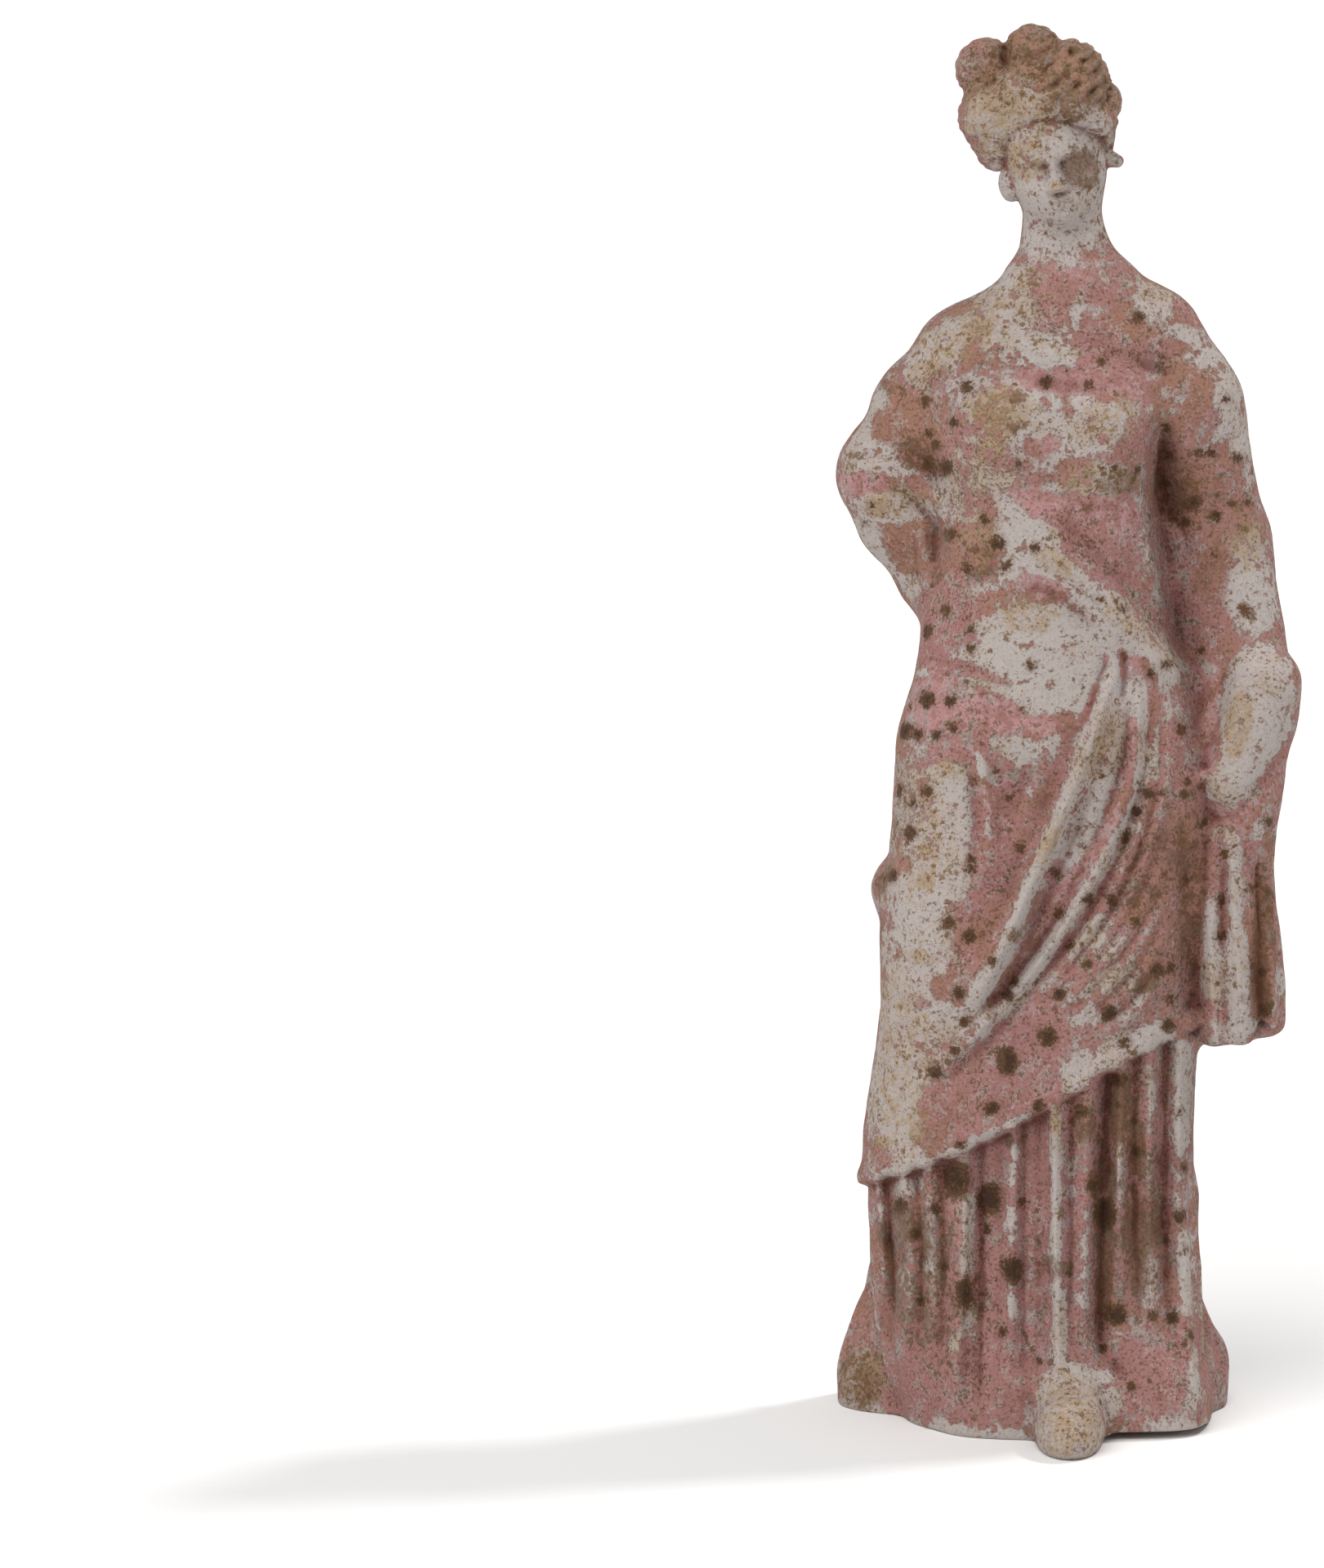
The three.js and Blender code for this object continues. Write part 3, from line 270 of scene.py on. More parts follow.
# Marks of slip, paint and dirt on the drawing plane, in millimetres.
# Patches: u, v, half width, half height, strength and, for some, turn in degrees;
# the slip's are added to an even ground of this strength
SLIP_GROUND = -0.25
SLIP_PATCHES = [
    [2.6, 26, 1.4, 8, -0.7], [-27, 144, 4.5, 4, 0.55], [-10, 176, 4.5, 6, 1.04, 25],
    [-20, 168, 7, 3, 0.91, 38], [-5, 167.6, 7.5, 2.6, 1.04, -5], [0.5, 172, 2, 2.2, 0.78],
    [-1, 188, 7, 7, 1.04], [13.5, 176, 4, 3.5, 1.04, -30], [8.5, 168.3, 7, 4.2, -0.9],
    [18.8, 163, 4.2, 2.6, -0.9, -20], [21, 158, 1.6, 3, -0.8], [7, 176.2, 3, 1.2, -0.9, 10],
    [2, 156, 7.5, 5, 0.5], [-5.5, 157, 2.5, 5.5, 0.6], [-3.6, 158.8, 1.2, 1.8, -0.9],
    [0, 158.6, 0.9, 2, -0.9], [-3.5, 153, 2.4, 1.3, -1, 10], [1.8, 148.7, 2.8, 2.1, -1.2, 10],
    [5.8, 151, 1.5, 0.8, -1], [5.6, 153.8, 0.8, 0.8, -1.2], [11.2, 154, 2.1, 3.6, -1.1, 15],
    [-25.5, 156.6, 5.2, 4, -1.1, 20], [-22.5, 152.5, 4, 3, -1, -30], [-19, 156, 3.5, 4.5, -0.5],
    [-29, 153, 4.5, 1.2, 0.78, -15], [-31, 147.2, 3.8, 1.5, -1, -3],
    [-22.7, 146.4, 2, 1.4, -1, -25], [-27, 143.3, 6.2, 2.4, 0.9, -5], [-24.8, 137.5, 3, 4.1, -1.3],
    [-16.5, 135.5, 5, 5, -0.5], [-9, 141, 2.8, 3.5, 0.8], [-5, 138, 4, 3, 1.17, -30],
    [-4.5, 143.8, 4, 1.8, -0.9, -15], [5.6, 142.5, 5, 2, -0.9], [5, 137, 6, 4.5, -1.1, -35],
    [5, 147.5, 6, 2.4, 0.6], [11.8, 142, 1.2, 10, 0.25], [17, 147, 4, 8.5, -1.3],
    [17.8, 148.3, 0.9, 0.6, 1.4], [25.5, 143, 3.5, 8, -0.7], [27, 152, 2, 3.4, 0.65],
    [28.3, 147, 1.6, 2, 0.7], [27.8, 137, 2.8, 3.2, 0.75], [28.8, 129, 4.6, 5, 0.9],
    [22.3, 129, 2.8, 9, -1.1], [33.2, 122, 1.2, 2.2, -1], [-4, 130.6, 4, 1.9, -1.7, -18],
    [-3, 119.5, 11, 8.6, 1.6, -5], [-20.5, 119, 3.8, 11, -0.4], [-22.5, 117.3, 1.2, 0.9, 1.17],
    [-17, 119.8, 1.3, 2, 1.17], [-7, 105.5, 2.8, 2.5, 1.2], [-25.5, 93, 3.8, 11, 0.6],
    [-23, 82.5, 5.4, 5, 0.85], [-26, 86.5, 1.8, 2, -1], [-22.5, 73.5, 6, 5, 0.9, 10],
    [-25.5, 63, 6, 7, 0.9], [-27.8, 52, 4, 9, 1.3, 8], [-20, 68, 1.8, 1.8, -0.9, -30],
    [-23.2, 65.5, 2, 1.3, -0.9, -30], [-18.6, 62, 3, 3, 1], [14.5, 84, 5, 16, -0.8],
    [11.5, 92.5, 1, 1.6, 1], [9.8, 84.3, 0.7, 1.4, 1.2, -30], [-4, 59, 4, 6, -0.9],
    [-14, 49.5, 11, 5.5, -1, 18], [-11.5, 57, 5, 4, -0.8], [29.3, 112, 5.4, 9.5, 1.7, -6],
    [22, 103, 1, 1.4, -1], [33, 101, 2.4, 5, -1, -30], [26.5, 70, 1.7, 9.5, 1.6],
    [22.9, 69.5, 2.2, 4, 1.4], [22.7, 84.4, 0.6, 1.5, -1], [22.5, 64.3, 2.4, 1.3, -1.4],
    [30.7, 74, 2, 10, -1.1], [31.8, 76.3, 0.5, 1.3, 1.6], [33.1, 69, 0.9, 2.4, 1.6],
    [28, 61.8, 3.2, 1, 1.04], [20, 5, 0.7, 5, 1.1], [-15, 14, 1.1, 2.2, 0.91],
    [-18, 9, 1.3, 3, 0.91], [-24, 28, 5, 13, 0.35], [7, 70, 6, 7, 0.3, -30],
    [-20, 144, 6, 3, 0.4, -20], [-1.2, 14, 1.3, 6.5, 1.5], [-8, 41.5, 0.7, 1.1, 1.2],
    [-9, 30, 1.2, 2.8, 0.65], [-8.7, 17, 0.6, 1.8, 1.1], [0.8, 37, 0.8, 3.6, 0.91],
    [13.3, 50, 0.5, 2.8, 1.3], [13, 39.5, 0.5, 2, 1.1], [8.5, 38, 0.8, 5, 0.91],
    [13, 21, 2, 4.5, 0.5], [-22.2, 22.8, 0.9, 1.6, 1.04], [-25.8, 21.5, 0.9, 1.6, 1.04],
    [-24.5, 36.3, 1.8, 1.6, 1.17], [-5.2, 36, 2.4, 11, -0.9], [-16, 4, 12, 6, -0.8],
    [13, 6, 5.5, 6, -0.7], [0.4, -1, 5.8, 8, 1.6], [6, 2.5, 2.8, 3.8, 0.65],
    [-32.3, 4.5, 4, 5.5, 0.65], [-2, 196, 10, 8, 1], [-9, 204, 6, 6, 1.04], [-1, 204, 7, 3.5, 1.04],
    [-5.7, 32, 0.5, 0.5, 1.6], [-5.7, 29.5, 0.4, 0.4, 1.6], [-4.5, 28.8, 0.4, 0.4, 1.6],
    [-10, 111, 5, 3, -0.5, -10], [-17, 105, 4, 2, -0.4], [-5, 158, 17, 14, 0.32],
    [-12, 137, 7, 8, 0.3], [-26, 52, 7, 14, 0.35, 10], [-8, 64, 12, 9, 0.15, -30],
    [24, 160, 7, 12, 0.2, -20],
]
# Strokes: line, half width and strength, with this steepness and fading at both ends
MARK_POWER = 2.5
MARK_FADE = 0.08
SLIP_STROKES = [
    [[[-34.5, 150], [-32, 155], [-28, 161]], 1.8, 1.04],
    [[[-8, 163.6], [0, 163], [8, 162], [14, 159.5]], 2, -0.9],
    [[[15, 172], [20, 168], [24, 162], [27, 155]], 2.2, 0.91],
    [[[16, 175.5], [19.5, 171.5]], 1.2, -0.8],
    [[[-1, 181], [-1.5, 176], [-2.7, 170.5]], 1.8, -1.2],
    [[[-35.2, 149.4], [-30, 150], [-25, 149], [-20, 147], [-14, 147.5], [-8, 147]], 1.2, 1],
    [[[-33.5, 142], [-30, 137], [-25, 131.5], [-22.5, 129]], 1.3, 1.04],
    [[[-9, 138], [-3, 134.5], [3, 130], [9, 125], [14, 119.5], [17.5, 115]], 2.6, 1.3],
    [[[-17.8, 119.2], [-13, 117.4], [-8, 115.3]], 0.8, -1.6],
    [[[-19.5, 113.2], [-13, 111.6], [-7.5, 108.6], [-2, 109.3], [1.2, 110.4]], 1.3, -1.4],
    [[[6.6, 120.6], [4.2, 114.5], [2.4, 109]], 0.55, -1.8],
    [[[8.5, 121.2], [8.7, 116.4]], 0.5, -1.8],
    [[[9.4, 119.8], [12.2, 118.4], [13, 114], [13.2, 106]], 0.7, -1.5],
    [[[-1.4, 108], [-2.5, 104.3]], 0.6, 1.2],
    [[[2, 108.2], [1, 105]], 0.6, 1.2],
    [[[-18.5, 104], [-18, 98], [-17.8, 90], [-18.4, 81]], 3.2, 1.5],
    [[[-14.9, 105.2], [-14.4, 99.8]], 0.5, -1.6],
    [[[-14, 105.2], [-13.2, 100.8]], 0.6, 1.4],
    [[[-12.6, 95.4], [-12, 90.8]], 0.7, 1.2],
    [[[-11.4, 102.6], [-10.6, 93]], 0.55, 1.2],
    [[[-5.8, 100], [-5.9, 97.4]], 0.6, 1],
    [[[-10, 101], [-11, 90], [-14, 78], [-17, 69]], 3.6, -1],
    [[[-2, 103], [-5, 92], [-9, 82], [-13, 72]], 2.4, -0.9],
    [CREST, 1.4, 1.9],
    [[[8, 117], [7, 108], [5.2, 100], [2.5, 92.5], [-0.6, 86.5]], 2.3, 1.6],
    [[[10.4, 111.6], [10, 103.6], [8.6, 98.6], [6.9, 94], [4.2, 89.7],
      [1.5, 86], [-1.5, 81.5], [-4.6, 76.6], [-8.5, 70.5], [-13, 63.5]], 0.8, -2],
    [[[11.7, 118.6], [11.7, 103.6], [10.1, 95], [8, 90.8], [4.8, 85.5],
      [2.6, 82.3], [-1.1, 77], [-4.3, 71.6], [-8.6, 65.2], [-11.8, 61]], 1, 1.7],
    [[[13.6, 110], [13.9, 100]], 0.6, 1.4],
    [[[6.2, 79.2], [3.4, 75.8], [0.4, 71.8]], 1.4, 1.3],
    [[[8.5, 72], [5.2, 69.2], [2, 65.8]], 0.6, 1.1],
    [[[11, 71], [8, 69.3], [5.3, 66.8]], 0.5, 1],
    [[[4.8, 64.6], [2.4, 63], [0, 61]], 0.6, 1.1],
    [[[13.3, 68.2], [10, 65.2]], 0.6, 1.1],
    [[[-1.5, 52.6], [2, 54.6], [6, 57], [11, 59.2], [17, 60.6]], 1.9, 1.6],
    [[[-11.8, 61.4], [-14.5, 59], [-17.5, 56.6]], 1.1, 1.1],
    [[[-30, 38], [-21.8, 39.4], [-13.8, 43.8], [-4.7, 48.2]], 0.8, 1.2],
    [[[28, 106], [25.5, 100.5], [23.8, 96.6]], 3, 1.5],
    [[[25.9, 92.4], [26.2, 84], [26.1, 79]], 0.8, 1.7],
    [[[22.6, 82], [22.4, 76], [22.6, 70]], 1, 1.5],
    [[[18.2, 60], [18.2, 50], [18, 42]], 1.2, 1.5],
    [[[18.9, 29], [19, 20], [19.4, 15]], 1.1, 1.2],
    [[[-15.4, 35], [-15.4, 28], [-15.6, 21.5]], 1, 1.6],
    [[[-1.9, 49], [-1.8, 35], [-1.8, 22]], 0.8, 1.3],
    [[[3.2, 33], [2.8, 24], [2.4, 15.5]], 0.8, 1.04],
    [[[-22, -1.6], [-15, -3.8], [-6, -4.8]], 1.3, 1.1],
    [[[13, -3], [21, -3]], 1.3, 1.1],
]
OCHRE_PATCHES = [
    [-10.5, 158.3, 5.4, 4.4, 1.4], [-11.8, 152, 2.8, 2.5, 1.1], [-13.7, 171, 2.2, 1.5, 1, 20],
    [-16, 171, 9, 5, 0.85, 38], [-22.5, 164.5, 2.6, 1.6, 0.9, 10], [-29.5, 143, 2, 1.8, 1],
    [-25.5, 144.5, 6.5, 3, 0.8], [-13.4, 140.5, 3.4, 6, 0.9], [-13.3, 134.2, 1.4, 1.6, 0.9],
    [-1, 134.4, 5, 2.2, 1, -32], [-6.3, 126.3, 5, 3, 1.1], [9, 124.5, 5, 1.8, 0.6, -45],
    [27.5, 138, 3, 4.5, 1.1], [26.6, 109.5, 2.4, 6, 1.3, -8], [-19, 102.4, 1.8, 1.6, 1.2],
    [-22, 84.2, 1.4, 1.3, 1], [-22.5, 72.5, 2.4, 1.6, 0.9], [5.4, 106, 1.5, 6, 0.9, -20],
    [-2.6, 91.5, 1.5, 5, 1, -25], [-29, 43, 1.2, 1.2, 1], [-23.8, 44.8, 1.1, 1.1, 1.1],
    [26.8, 73, 0.9, 6, 0.8], [-32.3, 5, 4.2, 5.5, 1.2], [0.4, -1, 5.8, 8, 1.0],
    [8.2, 46, 1.3, 5, 1], [15.3, 54, 1.3, 0.9, 1], [2.5, 47, 2, 4, 0.8], [-1.8, 47, 0.9, 3, 0.9],
    [7, 157, 5, 4, 0.8], [5, 147.5, 7, 3, 0.9], [-6, 197, 3.2, 3.5, 1.2], [-1, 192, 2, 2, 0.9],
    [-12, 203, 5, 6, 0.9], [-2, 210.5, 14, 8.5, 1.0], [-5, 178, 4, 4, 0.6], [-26, 56, 5, 18, 0.8],
    [-24, 92, 5, 12, 0.75],
]
UMBER_PATCHES = [
    [13, 26, 5, 7, 0.35], [-13, 20, 3, 8, 0.3], [-22.5, 151.5, 4, 3, 0.9, -20],
    [-7.5, 160.2, 1.6, 1.2, 1.2], [-8, 155.8, 1.8, 0.9, 1.2], [-27, 162, 3, 1, 1, -25],
    [-33, 151.4, 2.4, 0.6, 0.9], [-18, 139, 1.3, 1.3, 1], [-20.5, 133, 1.5, 3, 0.7],
    [-13.4, 135, 3, 3.4, 0.85], [8, 147.2, 4, 2.2, 0.95], [3.4, 143.2, 1.3, 1.3, 1.1],
    # The rows at u 16.5, 21 and 27 darken the hollow under the hanging arm and the arm beside it
    [16.5, 147, 3.4, 8, 0.7], [21, 146, 4, 5, 0.6], [27, 142, 2, 3, 0.6],
    [28, 127, 1.8, 1.2, 1.1, -45], [-25.5, 108.3, 1.8, 1.2, 1], [-29, 85, 1.6, 2.8, 1.1, -20],
    [13, 86, 4, 9, 0.8, -30], [12.3, 68.4, 2, 1.6, 1.2, 30], [-8.5, 76, 1.2, 1.8, 1.1, -35],
    [-17.3, 37, 2.3, 3, 1.3], [-8.5, 43.5, 1.6, 1.4, 1], [2.5, 46.5, 1.9, 3.6, 0.9],
    [-1.3, 32, 1, 1.7, 1.1], [-2, 23, 3.2, 2.2, 0.8], [4, 36.5, 1.2, 1.9, 1.1], [7, 37, 0.8, 2, 1],
    [11, 42.5, 1.3, 3.8, 1], [12, 30, 3, 4, 0.6], [6, 20, 1.2, 8, 0.8], [-33, 4, 4, 5.5, 1.1],
    [-1.5, 212, 14, 8, 0.75], [2.2, 195.6, 3, 3.8, 1.3], [1, 205, 5, 2.5, 0.7],
    # The row at u 30.5, v 74 darkens the deep groove on the right side of the fall of cloth
    [-26.5, 97, 3, 9, 0.6], [30.5, 74, 2, 13, 1.2], [14, 70, 6, 6, 0.3], [19.5, 85, 2.4, 18, 0.8],
    [-22, 22, 7, 15, 0.85], [9, 36, 6, 20, 0.85],
]
UMBER_STROKES = [
    [[[-27, 33], [-25, 30.5], [-24, 27]], 1.1, 1.2],
    [[[-29.5, 31], [-28.6, 26], [-27.2, 22]], 0.9, 1.1],
    [[[6, 33], [5.5, 24], [5, 15]], 1.2, 1.1],
    [[[9, 54], [8.4, 48], [7.6, 43]], 1.1, 1.1],
]
ROSE_PATCHES = [
    [0, 100, 60, 240, 0.5], [5, 138, 8, 8, 0.5], [-6, 30, 10, 30, 0.7], [-20, 118, 6, 14, 0.4],
    [0, 163, 12, 3, 0.5], [-16, 4, 12, 6, 0.9], [13, 6, 6, 7, 0.8], [-24.8, 137.5, 4, 5, -1.2],
    [-25.5, 156.6, 6, 5, -0.8], [11.5, 172, 5, 3, -0.7], [18.8, 163, 5, 4, -0.6],
    [17, 146, 5, 10, -0.2], [14, 84, 6, 16, -0.25], [30.7, 74, 3, 14, -0.2], [-14, 72, 6, 10, -0.3],
    [0, 210, 16, 14, -0.5], [-20, 134, 5, 6, -0.2], [-12, 30, 8, 16, 0.4], [9, 40, 8, 20, 0.3],
]
PINK_PATCHES = [
    [-4.5, 143.8, 5, 2.6, 1, -15], [22.3, 113, 2, 8, 0.8], [22, 103, 2, 3, 1],
    [26, 96.5, 4, 2, 1, 20], [-9, 111, 9, 3, 1, -8], [-17.5, 27, 2, 8, 0.8],
    [-3.5, 153, 4, 2.6, 0.8], [0, 162.5, 12, 2.4, 0.9, -6], [-31, 147, 5, 2.4, 0.9],
    [7, 142, 6, 3, 0.7], [-22, 117, 4, 8, 0.6], [10.5, 114, 3, 7, 0.9], [5, 115, 3, 6, 0.9, -15],
    [-3, 131, 5, 2.6, 0.7, -18], [2, 90, 4, 12, 0.7, -28], [17, 152, 4, 4, 0.4],
    [21, 170, 4, 5, 0.6, -50], [-20, 112, 6, 4, 0.7], [-12, 96, 4, 8, 0.5],
    [-5, 70, 6, 8, 0.5, -30], [0, 180, 5, 4, 0.6],
]
# Depth inside a spot that stands for no spot near
SPOTLESS = -2.0
# Dark spots: u, v, half width and half height
TALL_SPOTS = [
    [-9.4, 56, 1.6, 2.6], [-16.2, 18.8, 1.7, 2.6], [-12.3, 34, 2.1, 2.6], [-8.7, 22.5, 1.7, 2.3],
    [5.9, 31.8, 1.8, 2.9], [-17.4, 37.2, 2.2, 2.8], [7.7, 15.5, 1.8, 1.9],
]
# Round dark spots: u, v and radius
SPOTS = [
    [11, 172.7, 1], [-10.2, 168, 0.4], [7.2, 167.4, 0.4], [14.7, 166.5, 0.5], [5.3, 166, 0.8],
    [0, 164.5, 0.3], [-3.3, 162.6, 1], [3.2, 162.3, 0.8], [-15.6, 162, 0.9], [24.5, 160, 0.6],
    [-22, 159.8, 0.8], [-17.5, 156.5, 0.7], [15.3, 155.7, 0.7], [-21.5, 154.8, 0.8],
    [-20.5, 153, 0.8], [22.3, 151.6, 0.8], [20.3, 151.5, 0.7], [16, 151.3, 0.7], [26.2, 150.8, 0.8],
    [-21.6, 150.3, 1.1], [-7.6, 150, 0.6], [-18.8, 149.6, 1.1], [7.4, 149.3, 0.6],
    [10.8, 149.2, 0.6], [15.4, 147, 0.8], [19.8, 144, 1.1], [28, 144, 0.6], [25.4, 143.8, 0.5],
    [-30.4, 143.4, 0.5], [23, 142, 0.9], [-12.8, 141.5, 0.8], [18.3, 141, 0.8], [-31.5, 140.8, 0.4],
    [-17.8, 139, 0.8], [-10.8, 137.8, 1.2], [-5, 137, 0.8], [22.8, 136, 0.6], [-9.6, 134.2, 0.6],
    [-15.5, 133.8, 0.9], [4.8, 128.9, 0.4], [8.6, 127.4, 0.6], [-19, 127.3, 0.8], [27.5, 127, 0.9],
    [-15.7, 126, 0.5], [-22.2, 124, 1.2], [-15.1, 124, 0.6], [-15, 121.3, 0.7], [20.8, 121, 0.6],
    [15.4, 118.7, 0.6], [-5.5, 118.6, 0.7], [13, 117.2, 0.7], [-21.8, 113.3, 1.3], [-18.3, 113, 1],
    [-25.2, 112.4, 0.9], [-7.2, 111.6, 0.5], [-17.8, 109, 0.9], [17.6, 108.5, 0.9],
    [-25.4, 108.3, 1.3], [-23.3, 107.8, 0.9], [-20.5, 107.6, 0.8], [-11.2, 102, 0.6],
    [5.4, 101.2, 0.4], [-14.4, 100.4, 0.4], [18.6, 100.4, 0.6], [-26.3, 98.9, 1],
    [-21.9, 98.8, 0.9], [12.7, 98.4, 0.9], [14.7, 98.4, 0.5], [18.2, 98.2, 0.6], [-9.2, 97.8, 0.6],
    [-24, 97, 0.8], [10.8, 95.5, 0.8], [31.3, 94, 0.7], [21.3, 93.8, 0.6], [-27.6, 93.5, 0.8],
    [-24.5, 92.2, 1.1], [9.3, 91.5, 1], [2.4, 90.4, 0.4], [-7.4, 90, 0.8], [24.3, 89, 0.8],
    [-15.1, 88.1, 0.6], [-14.9, 86.6, 0.8], [-2, 86, 0.8], [-27.8, 85.5, 1.2], [18.5, 85, 0.7],
    [28.8, 83.5, 0.7], [31, 83, 0.7], [3.3, 81.7, 0.9], [7, 81.7, 0.9], [24, 81.5, 0.8],
    [-1.3, 79.5, 0.9], [30.8, 79, 0.6], [10.5, 78.3, 0.7], [-18.7, 78, 1], [24, 76, 0.9],
    [-15.3, 75.8, 1.2], [0.5, 74.3, 0.35], [-11.8, 72, 0.7], [3.2, 71.5, 0.7], [16.2, 71, 0.9],
    [14.3, 70.6, 1.2], [30.5, 70.5, 0.9], [-8.2, 68.6, 0.7], [-17, 66.8, 1.1], [-9.2, 66.6, 1],
    [-1.3, 66.6, 1.1], [16, 66, 0.8], [27.4, 66, 0.4], [31, 64.3, 1.1], [6.5, 63.8, 1.3],
    [-16, 62.5, 0.9], [15.8, 61.8, 1.1], [-3, 60, 1.6], [9, 59, 0.9], [-17.5, 57.5, 0.9],
    [-20.7, 54.3, 1.1], [8.5, 53, 1.2], [-4.5, 49, 1], [-12, 48.6, 1.2], [2, 48, 1.3],
    [17.6, 48, 0.6], [-16.8, 42.6, 0.8], [10.8, 42, 1.1], [18.4, 39.2, 0.6], [4, 36.3, 1],
    [-7, 33.5, 0.9], [-26.2, 33, 1.1], [-20.5, 32.5, 1.1], [17.8, 31.4, 1.1], [-12.6, 29, 0.7],
    [-24, 28.5, 1.1], [18.6, 26.3, 0.5], [-19.3, 23, 0.7], [-23, 17.5, 0.8], [13.5, 15.3, 0.8],
    [16.5, 15, 1], [-10.3, 12.8, 0.9], [19.5, 12.3, 0.7], [5.6, 10, 0.7], [-4.6, 8, 0.5],
    [10.2, 4, 0.8],
]


# Sizes and colours that a user would change


class FigurineForm(bpy.types.PropertyGroup):
    """How finely the clay is meshed and how worn it is"""

    mesh_step: bpy.props.FloatProperty(
        name="Mesh step",
        description="Spacing of the points the surface is first built from",
        default=0.00036, min=0.0002, max=0.003, precision=5, unit="LENGTH")
    triangles: bpy.props.IntProperty(
        name="Triangles",
        description="Most triangles the finished piece may have",
        default=194000, min=20000, max=199000)
    wear: bpy.props.FloatProperty(
        name="Wear",
        description="Depth of the shallow unevenness left by modelling and wear",
        default=0.00016, min=0.0, max=0.001, precision=5, unit="LENGTH")


def colour_property(name, description, default):
    return bpy.props.FloatVectorProperty(
        name=name, description=description, default=default, size=3,
        min=0.0, max=1.0, subtype="COLOR_GAMMA")


class FigurinePaint(bpy.types.PropertyGroup):
    """Colours of the clay, its slip, paint and stains"""

    slip: colour_property("Slip", "White ground left on the clay", (0.727, 0.69, 0.672))
    clay: colour_property("Clay", "Bare fired clay", (0.622, 0.465, 0.402))
    rose: colour_property("Rose", "Rose paint, where it is worn", (0.656, 0.482, 0.468))
    pink: colour_property("Pink", "Brighter pink along the edges of the slip", (0.738, 0.56, 0.56))
    russet: colour_property("Russet", "Darker grains in the clay and the paint", (0.45, 0.32, 0.265))
    ochre: colour_property("Ochre", "Yellowish stain", (0.66, 0.555, 0.425))
    umber: colour_property("Umber", "Brown deposit and hair", (0.44, 0.32, 0.215))
    spot: colour_property("Spot", "Darkest spots and specks", (0.25, 0.175, 0.125))
    slip_amount: bpy.props.FloatProperty(
        name="Slip left", description="How much of the white slip is left",
        default=0.0, min=-1.0, max=1.0)


class FigurineStage(bpy.types.PropertyGroup):
    """Camera, floor and lights"""

    floor: colour_property("Floor", "Pale floor", (0.95, 0.95, 0.95))
    eye_distance: bpy.props.FloatProperty(
        name="Eye distance", description="From the camera to the figurine",
        default=1.0, min=0.3, max=5.0, unit="LENGTH")
    eye_height: bpy.props.FloatProperty(
        name="Eye height", description="Height of the camera above the floor",
        default=0.23, min=0.0, max=3.0, unit="LENGTH")
    lens: bpy.props.FloatProperty(
        name="Lens", description="Focal length in millimetres",
        default=148.01, min=20.0, max=400.0)
    key_strength: bpy.props.FloatProperty(
        name="Key light", description="Strength of the soft light in front, on the left",
        default=2.0, min=0.0, max=20.0)
    side_strength: bpy.props.FloatProperty(
        name="Side light", description="Strength of the light on the right that casts the shadow",
        default=1.3, min=0.0, max=20.0)
    surroundings: bpy.props.FloatProperty(
        name="Surroundings", description="Brightness of the white all round",
        default=0.48, min=0.0, max=5.0)


# Helpers for numbers in arrays


def step_between(x, low, high):
    t = np.clip((x - low) / (high - low), 0, 1)
    return t * t * (3 - 2 * t)


def mix(a, b, t):
    return a + (b - a) * t


def join(a, b, k):
    h = np.maximum(k - np.abs(a - b), 0) / k
    return np.minimum(a, b) - h * h * (k * 0.25)


def carve(a, b, k):
    return -join(-a, -b, k)


# Masses


def ball(x, y, z, centre, radii):
    qx = (x - centre[0]) / radii[0]
    qy = (y - centre[1]) / radii[1]
    qz = (z - centre[2]) / radii[2]
    k0 = np.sqrt(qx * qx + qy * qy + qz * qz) + 1e-9
    k1 = np.sqrt((qx / radii[0]) ** 2 + (qy / radii[1]) ** 2 + (qz / radii[2]) ** 2) + 1e-9
    return k0 * (k0 - 1) / k1


def bar(x, y, z, start, end, start_radius, end_radius):
    dx, dy, dz = (end[k] - start[k] for k in range(3))
    px, py, pz = x - start[0], y - start[1], z - start[2]
    t = np.clip((px * dx + py * dy + pz * dz) / (dx * dx + dy * dy + dz * dz), 0, 1)
    away = np.sqrt((px - t * dx) ** 2 + (py - t * dy) ** 2 + (pz - t * dz) ** 2)
    return away - mix(start_radius, end_radius, t)


